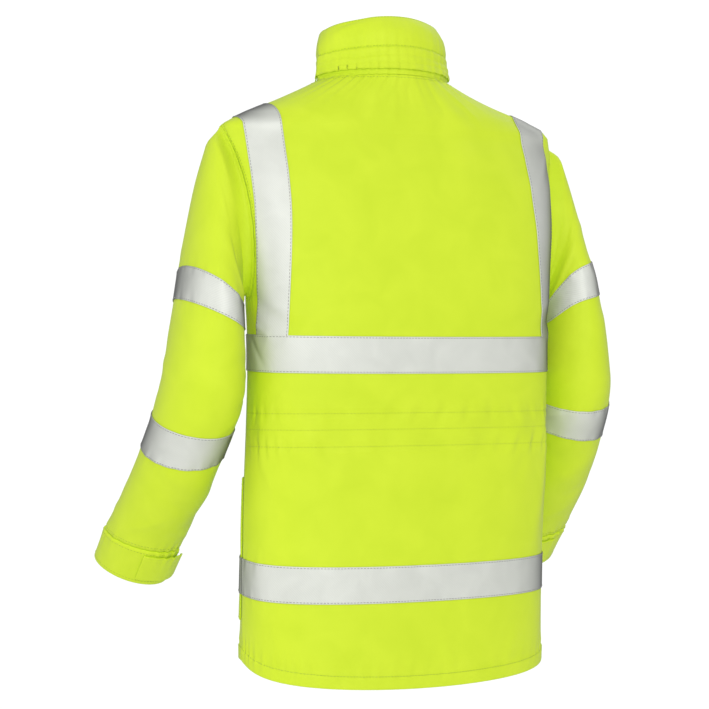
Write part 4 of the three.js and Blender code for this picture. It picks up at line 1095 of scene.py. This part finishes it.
for side_name, side in SIDES.items():
    for band, (head, foot) in SLEEVE_BANDS[side_name].items():
        points, out, _ = sleeve_rows(side_name, np.linspace(head, foot, 17))
        points, out = mirrored(points, side), mirrored(out, side)
        piece = cloth_piece(f"tape_sleeve_band_{band}_{side_name}", points, out, TAPE_LOW, TAPE_HIGH,
                            SILVER, ring=True)
        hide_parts(f"sleeve_band_{band}_{side_name}")
        closed = [np.concatenate([a, a[:, :1]], 1) for a in (points, out)]
        tape_edges.append((*closed, np.full(closed[0].shape[:2], TAPE_HIGH)))


# Patch pockets.
# Low on each front, under the tape, with a slightly filled pouch.

POCKET_FIRST, POCKET_LAST = 1 / 13, 8 / 13
POCKET_CLOTH = 2.0
POCKET_PUFF = 3.0
POCKET_FOOT_HEIGHTS = np.array(BODY_LINES["pocket foot"], float)
POCKET_HEAD_HEIGHTS = np.array(BODY_LINES["pocket head"], float)


def pocket_fullness(share, angle, height):
    """How far the pouch stands out: half sine waves across it and up it."""
    low, high = line_height("pocket foot", angle), line_height("pocket head", angle)
    up = np.clip((height - low) / (high - low), 0, 1)
    across = (share - POCKET_FIRST) / (POCKET_LAST - POCKET_FIRST)
    inside = (across >= 0) & (across <= 1)
    return np.where(inside, POCKET_PUFF * np.sin(math.pi * up) * np.sin(math.pi * np.clip(across, 0, 1)), 0)


pocket_share = np.linspace(POCKET_FIRST, POCKET_LAST, 50)[None, :]
pocket_heights = POCKET_FOOT_HEIGHTS + (POCKET_HEAD_HEIGHTS - POCKET_FOOT_HEIGHTS) * np.linspace(0, 1, 60)[:, None]
pocket_rows = np.column_stack([np.full(60, -SEAM_GAP / 160), pocket_heights[:, 0], pocket_heights[:, 2]])
pocket_angle, pocket_height = across_front(pocket_rows, pocket_share)
pocket_low = TAPE_LOW + pocket_fullness(pocket_share, pocket_angle, pocket_height)
pocket_grids = {}
for side_name, side in SIDES.items():
    angle = on_side(pocket_angle, side)
    points, _ = body_place(angle, pocket_height)
    out = grid_out(points, body_middle(points))
    fuller = pocket_low + puckers(pocket_share * 200, pocket_height - line_height("pocket head", angle),
                                  19, 0.25, 9, 161 + side)
    fuller = np.maximum(fuller, TAPE_LOW)
    pocket = cloth_piece(f"jacket_pocket_{side_name}", points, out, fuller, fuller + POCKET_CLOTH, SHELL)
    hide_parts(f"pocket_{side_name}")
    pocket_grids[side_name] = (points, out, fuller + POCKET_CLOTH)

band_share = np.linspace(0, 1, FRONT_COLUMNS)[None, :]
over = round_band("lower band")
over_rows = np.column_stack([np.full(len(over), -SEAM_GAP / 160), over[:, 0], over[:, 2]])
over_angle, over_height = across_front(over_rows, band_share)
step = 0.5 * (np.tanh((band_share - POCKET_FIRST + 0.012) / 0.009)
              - np.tanh((band_share - POCKET_LAST - 0.012) / 0.009))
over_low = TAPE_LOW + step * (POCKET_CLOTH + SEAM_GAP) + pocket_fullness(band_share, over_angle, over_height)
for side_name in SIDES:
    tape_edges.append(body_band(f"lower_band_{side_name}", "lower band", side_name, over_low))


# Braces.
# Tape from the chest band behind, over the shoulder, to the chest band in front.

# height and place across of the middle of the tape: behind from the band up, and in front
# from the shoulder down
BRACE_BEHIND = [(-349, 206), (-300, 205.5), (-240, 204.5), (-190, 203.5), (-145, 203), (-108, 202.5),
                (-84, 202), (-64, 201.5)]
BRACE_BEFORE = [(-66, 198), (-90, 191), (-118, 183), (-150, 177), (-190, 170), (-240, 163), (-300, 158),
                (-349, 155)]
BRACE_TOP_ACROSS = 201.0


def angle_across(x, height, half):
    """The angle, behind (1) or in front (-1), where the plain body is x from the middle."""
    low, high = np.zeros(np.shape(x)), np.full(np.shape(x), QUARTER)
    for _ in range(30):
        middle = (low + high) / 2
        beyond = body_point(middle * half, height)[..., 0] > x
        low, high = np.where(beyond, middle, low), np.where(beyond, high, middle)
    return low * half


def nearest_on_body(targets, angle, height):
    """Angles and heights whose plain body points are nearest to the targets, by repeated
    least squares on the two slopes of the surface."""
    for _ in range(14):
        here = body_point(angle, height)
        slope_a = (body_point(angle + 0.004, height) - body_point(angle - 0.004, height)) / 0.008
        slope_h = (body_point(angle, height + 0.5) - body_point(angle, height - 0.5)) / 1.0
        miss = targets - here
        aa, ah, hh = (np.sum(p * q, -1) for p, q in ((slope_a, slope_a), (slope_a, slope_h), (slope_h, slope_h)))
        ma, mh = np.sum(slope_a * miss, -1), np.sum(slope_h * miss, -1)
        ground = np.maximum(aa * hh - ah * ah, 1e-6)
        angle = angle + np.clip(0.7 * (hh * ma - ah * mh) / ground, -0.05, 0.05)
        height = height + np.clip(0.7 * (aa * mh - ah * ma) / ground, -6, 6)
    return angle, height


def clear_of_armhole(angle, height):
    """Keeps places on the body side of the armhole seam."""
    up = (height - ARMHOLE_MIDDLE) / (ARMHOLE_HALF_HEIGHT + 1)
    egg = np.sqrt(np.clip(1 - up ** 2, 0, 1))
    wide = np.where(angle > 0, ARMHOLE_BACK + 1.2 / 78, -(ARMHOLE_FRONT + 1.2 / 140)) * egg
    return np.where(np.abs(angle) < np.abs(wide), wide, angle)


def brace_grid():
    """Angle and height of the left brace's places: its path smoothed by length, widened by half
    the tape's width on each side, and laid back onto the body."""
    behind, before = np.array(BRACE_BEHIND, float), np.array(BRACE_BEFORE, float)
    shoulder = np.interp(BRACE_TOP_ACROSS, [162, 214, 243], [-36, -58, -75])
    angle = np.concatenate([angle_across(behind[:, 1], behind[:, 0], 1), [0],
                            angle_across(before[:, 1], before[:, 0], -1)])
    height = np.concatenate([behind[:, 0], [shoulder], before[:, 0]])
    path = body_point(angle, height)
    walked = np.concatenate([[0], np.cumsum(np.linalg.norm(np.diff(path, axis=0), axis=1))])
    fine = np.linspace(0, walked[-1], 230)
    smooth = smooth_table(np.column_stack([walked, path, angle, height]))(fine)
    middle, angle, height = smooth[:, :3], smooth[:, 3], smooth[:, 4]
    forwards = unit(np.gradient(middle, axis=0))
    aside = unit(np.cross(forwards, way_out(body_point, angle, height, 0.01, 2)))
    share = np.linspace(-0.5, 0.5, 17)[:, None]
    targets = middle + aside * (share * TAPE_WIDTH)[..., None]
    angle, height = nearest_on_body(targets, angle + 0 * share, height + 0 * share)
    return clear_of_armhole(angle, height), height


brace_angle, brace_height = brace_grid()
for side_name, side in SIDES.items():
    points, out = body_place(on_side(brace_angle, side), brace_height)
    piece = cloth_piece(f"tape_brace_{side_name}", points, out, TAPE_LOW, TAPE_HIGH, SILVER)
    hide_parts(f"brace_{side_name}")
    tape_edges.append((points, out, np.full(points.shape[:2], TAPE_HIGH)))


# Sewing.
# Grey thread holds the tape down along both its edges. Yellow thread runs along the hem, the
# waist channel, the seams of the collar, armholes and cuffs, the pockets and the zip.

STITCH_PITCH = 4.4
# place along the stitch, half width, and the heights of its foot and its top, ring by ring
STITCH_RINGS = np.array([
    (-1.7, 0.25, -0.3, -0.1),
    (-0.9, 0.42, -0.2, 0.34),
    (0.9, 0.42, -0.2, 0.34),
    (1.7, 0.25, -0.3, -0.1),
])


def sewing_thread(name, deep, pale):
    """Twisted thread: slanting plies as a change of tone and a bump, and a soft sheen."""
    material, tree, shader, place = plain_material(name)
    parts = add_node(tree, "ShaderNodeSeparateXYZ", [("Vector", place.outputs["Object"])])
    slant = sum_of(tree, "ADD", sum_of(tree, "ADD", parts.outputs["X"], parts.outputs["Y"]), parts.outputs["Z"])
    plies = sum_of(tree, "SINE", sum_of(tree, "MULTIPLY", slant, 2 * math.pi / 0.0007), 0.0)
    share = sum_of(tree, "MULTIPLY_ADD", plies, 0.5, 0.5)
    tree.links.new(shader.inputs["Base Color"], colour_between(tree, share, deep, pale))
    bump = add_node(tree, "ShaderNodeBump", [("Height", plies)], Strength=0.4, Distance=0.0001)
    tree.links.new(shader.inputs["Normal"], bump.outputs[0])
    shader.inputs["Roughness"].default_value = 0.6
    shader.inputs["Sheen Weight"].default_value = 0.2
    return material


GREY_THREAD = sewing_thread("grey_thread", (0.20, 0.205, 0.19), (0.34, 0.345, 0.32))
YELLOW_THREAD = sewing_thread("yellow_thread", (0.36, 0.50, 0.012), (0.55, 0.72, 0.02))


def beads(name, places, along, out, rings, material, slot):
    """One mesh of small closed blocks: each is a row of rectangles, ring by ring, at that place,
    measured along it, across it and out of the cloth, with a top narrower than its foot."""
    across = np.cross(along, out)
    reach, half, low, high = rings.T
    corners = np.stack([
        np.stack([-half, low], -1), np.stack([half, low], -1),
        np.stack([0.6 * half, high], -1), np.stack([-0.6 * half, high], -1),
    ], 1)
    at = places[:, None, None] + along[:, None, None] * reach[None, :, None, None]
    at = at + across[:, None, None] * corners[None, ..., :1] + out[:, None, None] * corners[None, ..., 1:]
    count = len(rings)
    ring, corner = np.meshgrid(np.arange(count - 1), np.arange(4), indexing="ij")
    after = (corner + 1) % 4
    sides = np.stack([ring * 4 + corner, ring * 4 + after, ring * 4 + 4 + after, ring * 4 + 4 + corner], -1)
    last = 4 * count - 4
    ends = np.array([[3, 2, 1, 0], [last, last + 1, last + 2, last + 3]])
    faces = np.concatenate([sides.reshape(-1, 4), ends])
    quads = (faces[None] + 4 * count * np.arange(len(places))[:, None, None]).reshape(-1, 4)
    return mesh_piece(name, at.reshape(-1, 3) * MILLIMETRE, quads, material)


def along_line(points, out, pitch):
    """Places at an even pitch on a line, with its direction and the way out at each."""
    walked = np.concatenate([[0], np.cumsum(np.linalg.norm(np.diff(points, axis=0), axis=1))])
    count = max(1, int(walked[-1] / pitch))
    at = (np.arange(count) + 0.5) * walked[-1] / count
    both = np.concatenate([points, out], 1)
    here = np.stack([np.interp(at, walked, column) for column in both.T], -1)
    ahead = np.stack([np.interp(at + 0.5, walked, column) for column in points.T], -1)
    behind = np.stack([np.interp(at - 0.5, walked, column) for column in points.T], -1)
    way = unit(here[:, 3:])
    along = ahead - behind
    along = unit(along - way * np.sum(along * way, -1, keepdims=True))
    return here[:, :3], along, way


def stitches(name, lines, material, slot):
    """All the stitches of one thread, along every line of points and ways out."""
    parts = [np.concatenate(column) for column in zip(*(along_line(*line, STITCH_PITCH) for line in lines))]
    return beads(name, *parts, STITCH_RINGS, material, slot)


TAPE_STITCH_INSET = 1.9
HEM_STITCH_DROP = 3.0
COLLAR_STITCHING = (0.49, 0.975)


def inset_line(points, out, high, edge, inset):
    """A line on a grid's outer face, that far in from its first or last row."""
    surface = points + out * high[..., None]
    if edge < 0:
        surface, out = surface[::-1], out[::-1]
    inwards = surface[1] - surface[0]
    step = np.linalg.norm(inwards, axis=-1, keepdims=True)
    return surface[0] + inwards * inset / step, out[0]


grey_lines = []
for points, out, high in tape_edges:
    high = np.broadcast_to(high, points.shape[:2])
    grey_lines.append(inset_line(points, out, high, 1, TAPE_STITCH_INSET))
    grey_lines.append(inset_line(points, out, high, -1, TAPE_STITCH_INSET))
stitches("tape_stitches", grey_lines, GREY_THREAD, "tape")


def on_body(angle, height, high):
    """A line on the body cloth's outer face."""
    points, out = body_place(angle, height)
    return points + out * np.broadcast_to(high, angle.shape)[:, None], out


yellow_lines = []
all_round = np.linspace(0.01, math.pi - 0.01, 300)
for name in ("channel head", "waist", "channel foot"):
    yellow_lines.append(on_body(all_round, line_height(name, all_round), CLOTH / 2))
yellow_lines.append(on_body(all_round, line_height("hem stitching", all_round) - HEM_STITCH_DROP,
                            HEM_CLOTH - CLOTH / 2))
for side_name, side in SIDES.items():
    front_turn = on_side(np.linspace(-0.01, -QUARTER + 0.03, 170), side)
    yellow_lines.append(on_body(front_turn, line_height("hem stitching", front_turn) - HEM_STITCH_DROP,
                                HEM_CLOTH - CLOTH / 2))
    zip_height = np.linspace(-780, -75, 200)
    yellow_lines.append(on_body(on_side(angle_at_zip(zip_height, 9.0), side), zip_height, CLOTH / 2))
    ring_angle, ring_height = armhole_spot(np.linspace(0.05, 2 * math.pi - 0.05, 260), 4.5)
    yellow_lines.append(on_body(on_side(ring_angle, side), ring_height, CLOTH / 2))
    points, out, high = pocket_grids[side_name]
    yellow_lines.append(inset_line(points, out, high, 1, 2.2))
    yellow_lines.append(inset_line(points, out, high, -1, 9.0))
    sideways = (points.transpose(1, 0, 2), out.transpose(1, 0, 2), high.T)
    yellow_lines.append(inset_line(*sideways, 1, 2.2))
    yellow_lines.append(inset_line(*sideways, -1, 2.2))
    for station, high in ((11.86, CLOTH / 2), (12.1, CUFF_OUTER), (12.9, CUFF_OUTER)):
        turn = np.linspace(0, 2 * math.pi, 200)
        points, out = sleeve_place(side_name, turn, np.full(200, station))
        yellow_lines.append((mirrored(points + out * high, side), mirrored(out, side)))
neck_turn = np.linspace(COLLAR_START + 0.06, math.pi - COLLAR_START - 0.06, 400)
for rise in COLLAR_STITCHING:
    points, out = collar_grid(neck_turn, np.full(len(neck_turn), rise))
    yellow_lines.append((points + out * hood_fullness(neck_turn, rise)[:, None], out))
neck_points, neck_out = neck_place(neck_turn)
below = np.where(np.sin(neck_turn) > 0, 4.0, 5.0)
neck_side = np.arctan2(np.abs(np.sin(neck_turn)), np.abs(np.cos(neck_turn))) / QUARTER
neck_rise = np.where(np.sin(neck_turn) > 0, 1 - (1 - neck_side) ** 2, neck_side ** 1.5)
neck_height = NECK_SIDE + (np.where(np.sin(neck_turn) > 0, 0, NECK_FRONT) - NECK_SIDE) * neck_rise
yellow_lines.append(on_body(neck_turn, neck_height - below, CLOTH / 2))
stitches("cloth_stitches", yellow_lines, YELLOW_THREAD, "cloth")


# Zip.
# Two woven tapes meet up the middle of the front, with moulded teeth that lock in turn, a metal
# slider near the top, and its pull tab on a pin.

TEETH_PITCH = 2.9
TOOTH_RINGS = np.array([
    (-2.0, 0.55, -0.6, 0.75),
    (-1.3, 0.72, -0.8, 1.1),
    (0.6, 0.72, -0.8, 1.1),
    (1.5, 0.62, -0.7, 0.85),
])
CHAIN_TAPE = 0.5


def moulded_plastic(name, deep, pale):
    """Moulded plastic: a fine grain in its tone and surface, half glossy."""
    material, tree, shader, place = plain_material(name)
    grain = add_node(tree, "ShaderNodeTexNoise", [("Vector", place.outputs["Object"])], Scale=900.0, Detail=2.0)
    tree.links.new(shader.inputs["Base Color"], colour_between(tree, grain.outputs["Fac"], deep, pale))
    bump = add_node(tree, "ShaderNodeBump", [("Height", grain.outputs["Fac"])], Strength=0.2, Distance=0.0001)
    tree.links.new(shader.inputs["Normal"], bump.outputs[0])
    shader.inputs["Roughness"].default_value = 0.38
    return material


def brushed_metal(name):
    """Plated zinc: fine drawn lines and slow smudges that change its roughness and tone."""
    material, tree, shader, place = plain_material(name)
    drawn = add_node(tree, "ShaderNodeVectorMath", [(0, place.outputs["Object"])], operation="MULTIPLY")
    drawn.inputs[1].default_value = (9000, 900, 900)
    lines = add_node(tree, "ShaderNodeTexNoise", [("Vector", drawn.outputs[0])], Scale=1.0, Detail=2.0)
    smudge = add_node(tree, "ShaderNodeTexNoise", [("Vector", place.outputs["Object"])], Scale=260.0, Detail=2.0)
    tree.links.new(shader.inputs["Base Color"],
                   colour_between(tree, smudge.outputs["Fac"], (0.46, 0.47, 0.46), (0.62, 0.63, 0.61)))
    rough = sum_of(tree, "MULTIPLY_ADD", smudge.outputs["Fac"], 0.25, 0.18)
    tree.links.new(shader.inputs["Roughness"], rough)
    bump = add_node(tree, "ShaderNodeBump", [("Height", lines.outputs["Fac"])], Strength=0.25, Distance=0.00005)
    tree.links.new(shader.inputs["Normal"], bump.outputs[0])
    shader.inputs["Metallic"].default_value = 0.95
    return material


front_zip = front_rows[:, 2]
body_line, _ = body_place(angle_at_zip(front_zip), front_zip)
middle_line = np.concatenate([body_line, collar_points[:, 0]])
middle_line[:, 0] = 0
slope = unit(np.gradient(middle_line, axis=0))
front_way = np.stack([np.zeros(len(slope)), -slope[:, 2], slope[:, 1]], -1)
front_way = front_way * np.sign(-front_way[:, 1:2])
share = np.linspace(-1, 1, 9)[None, :, None]
chain_points = middle_line[:, None] + share * np.array([ZIP_HALF_WIDTH, 0, 0])
chain_out = np.broadcast_to(front_way[:, None], chain_points.shape)
# The zip tapes take the cloth's material, with its painted olive edge shade and painted glow.
ZIP_TAPE = yellow_cloth("woven_zip_tape", thread=0.0008)
chain = cloth_piece("zip_tapes", chain_points, chain_out, -CHAIN_TAPE, CHAIN_TAPE, ZIP_TAPE)
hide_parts("zip_chain")
for hand, side in (("left", 1), ("right", -1)):
    places, up, way = along_line(middle_line, front_way, TEETH_PITCH)
    places = places + up * (0.25 * side * TEETH_PITCH)
    places[:, 0] = side * 0.75
    towards = np.broadcast_to(np.array([-side, 0.0, 0.0]), places.shape)
    beads(f"zip_teeth_{hand}", places, towards, way, TOOTH_RINGS,
          moulded_plastic(f"tooth_plastic_{hand}", (0.50, 0.62, 0.03), (0.60, 0.74, 0.05)), "zip_teeth")

METAL = brushed_metal("plated_zinc")
for name in ("zip_slider", "zip_pull"):
    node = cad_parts[name]
    node.data.materials.clear()
    node.data.materials.append(METAL)
    soft = node.modifiers.new("soft_edges", "BEVEL")
    soft.width = 0.00025
    soft.segments = 2


# Floor, light and camera.
# A plain pale floor, level with the soles of a wearer, soft light from all round with a large
# soft lamp on each side of the camera, and the photograph's own place for the camera.

FLOOR_HEIGHT = -1.42
FLOOR_HALF = 2.5
floor_mesh = bpy.data.meshes.new("pale_floor")
floor_corners = [(x, y, FLOOR_HEIGHT) for x, y in ((-1, -1), (1, -1), (1, 1), (-1, 1))]
floor_mesh.from_pydata([(x * FLOOR_HALF, y * FLOOR_HALF, z) for x, y, z in floor_corners], [], [(0, 1, 2, 3)])
floor = bpy.data.objects.new("pale_floor", floor_mesh)
bpy.context.scene.collection.objects.link(floor)
paint, tree, shader, place = plain_material("floor_paint")
speckle = add_node(tree, "ShaderNodeTexNoise", [("Vector", place.outputs["Object"])], Scale=3.0, Detail=3.0)
tree.links.new(shader.inputs["Base Color"],
               colour_between(tree, speckle.outputs["Fac"], (0.9, 0.9, 0.9), (0.93, 0.93, 0.93)))
shader.inputs["Roughness"].default_value = 0.9
floor_mesh.materials.append(paint)

world = bpy.data.worlds.new("studio")
bpy.context.scene.world = world
world.use_nodes = True
tree = world.node_tree
background = tree.nodes["Background"]
background.inputs["Color"].default_value = (1, 1, 1, 1)
SURROUND_LIGHT = 0.62
SURROUND_SEEN = 1.05
seen = add_node(tree, "ShaderNodeLightPath")
strength = sum_of(tree, "MULTIPLY_ADD", seen.outputs["Is Camera Ray"], SURROUND_SEEN - SURROUND_LIGHT,
                  SURROUND_LIGHT)
tree.links.new(background.inputs["Strength"], strength)

CAMERA_TURN = math.radians(153)
CAMERA_DISTANCE = 3.1
CAMERA_HEIGHT = -0.373


def soft_lamp(name, turn, distance, height, size, power):
    """A square lamp at that turn from the front, aimed at the middle of the jacket."""
    light = bpy.data.lights.new(name, "AREA")
    light.size = size
    light.energy = power
    lamp = bpy.data.objects.new(name, light)
    lamp.location = (distance * math.sin(turn), -distance * math.cos(turn), height)
    aim = np.array([0, 0, -0.4]) - np.array(lamp.location)
    lamp.rotation_euler = (math.acos(-aim[2] / np.linalg.norm(aim)), 0, math.atan2(-aim[0], aim[1]))
    bpy.context.scene.collection.objects.link(lamp)


soft_lamp("lamp_by_the_camera", CAMERA_TURN + math.radians(12), 3.6, 0.9, 2.6, 52)
soft_lamp("lamp_on_the_left", CAMERA_TURN - math.radians(60), 3.2, 0.4, 2.2, 18)
soft_lamp("lamp_above", CAMERA_TURN + math.radians(150), 2.6, 2.4, 2.4, 26)

bpy.context.scene.view_settings.view_transform = "Standard"
camera_data = bpy.data.cameras.new("photo_camera")
camera_data.sensor_width = 36
camera_data.lens = 115.7
camera_data.shift_x = -0.0374
camera = bpy.data.objects.new("photo_camera", camera_data)
camera.location = (CAMERA_DISTANCE * math.sin(CAMERA_TURN), -CAMERA_DISTANCE * math.cos(CAMERA_TURN),
                   CAMERA_HEIGHT)
camera.rotation_euler = (QUARTER, 0, CAMERA_TURN)
bpy.context.scene.collection.objects.link(camera)
bpy.context.scene.camera = camera
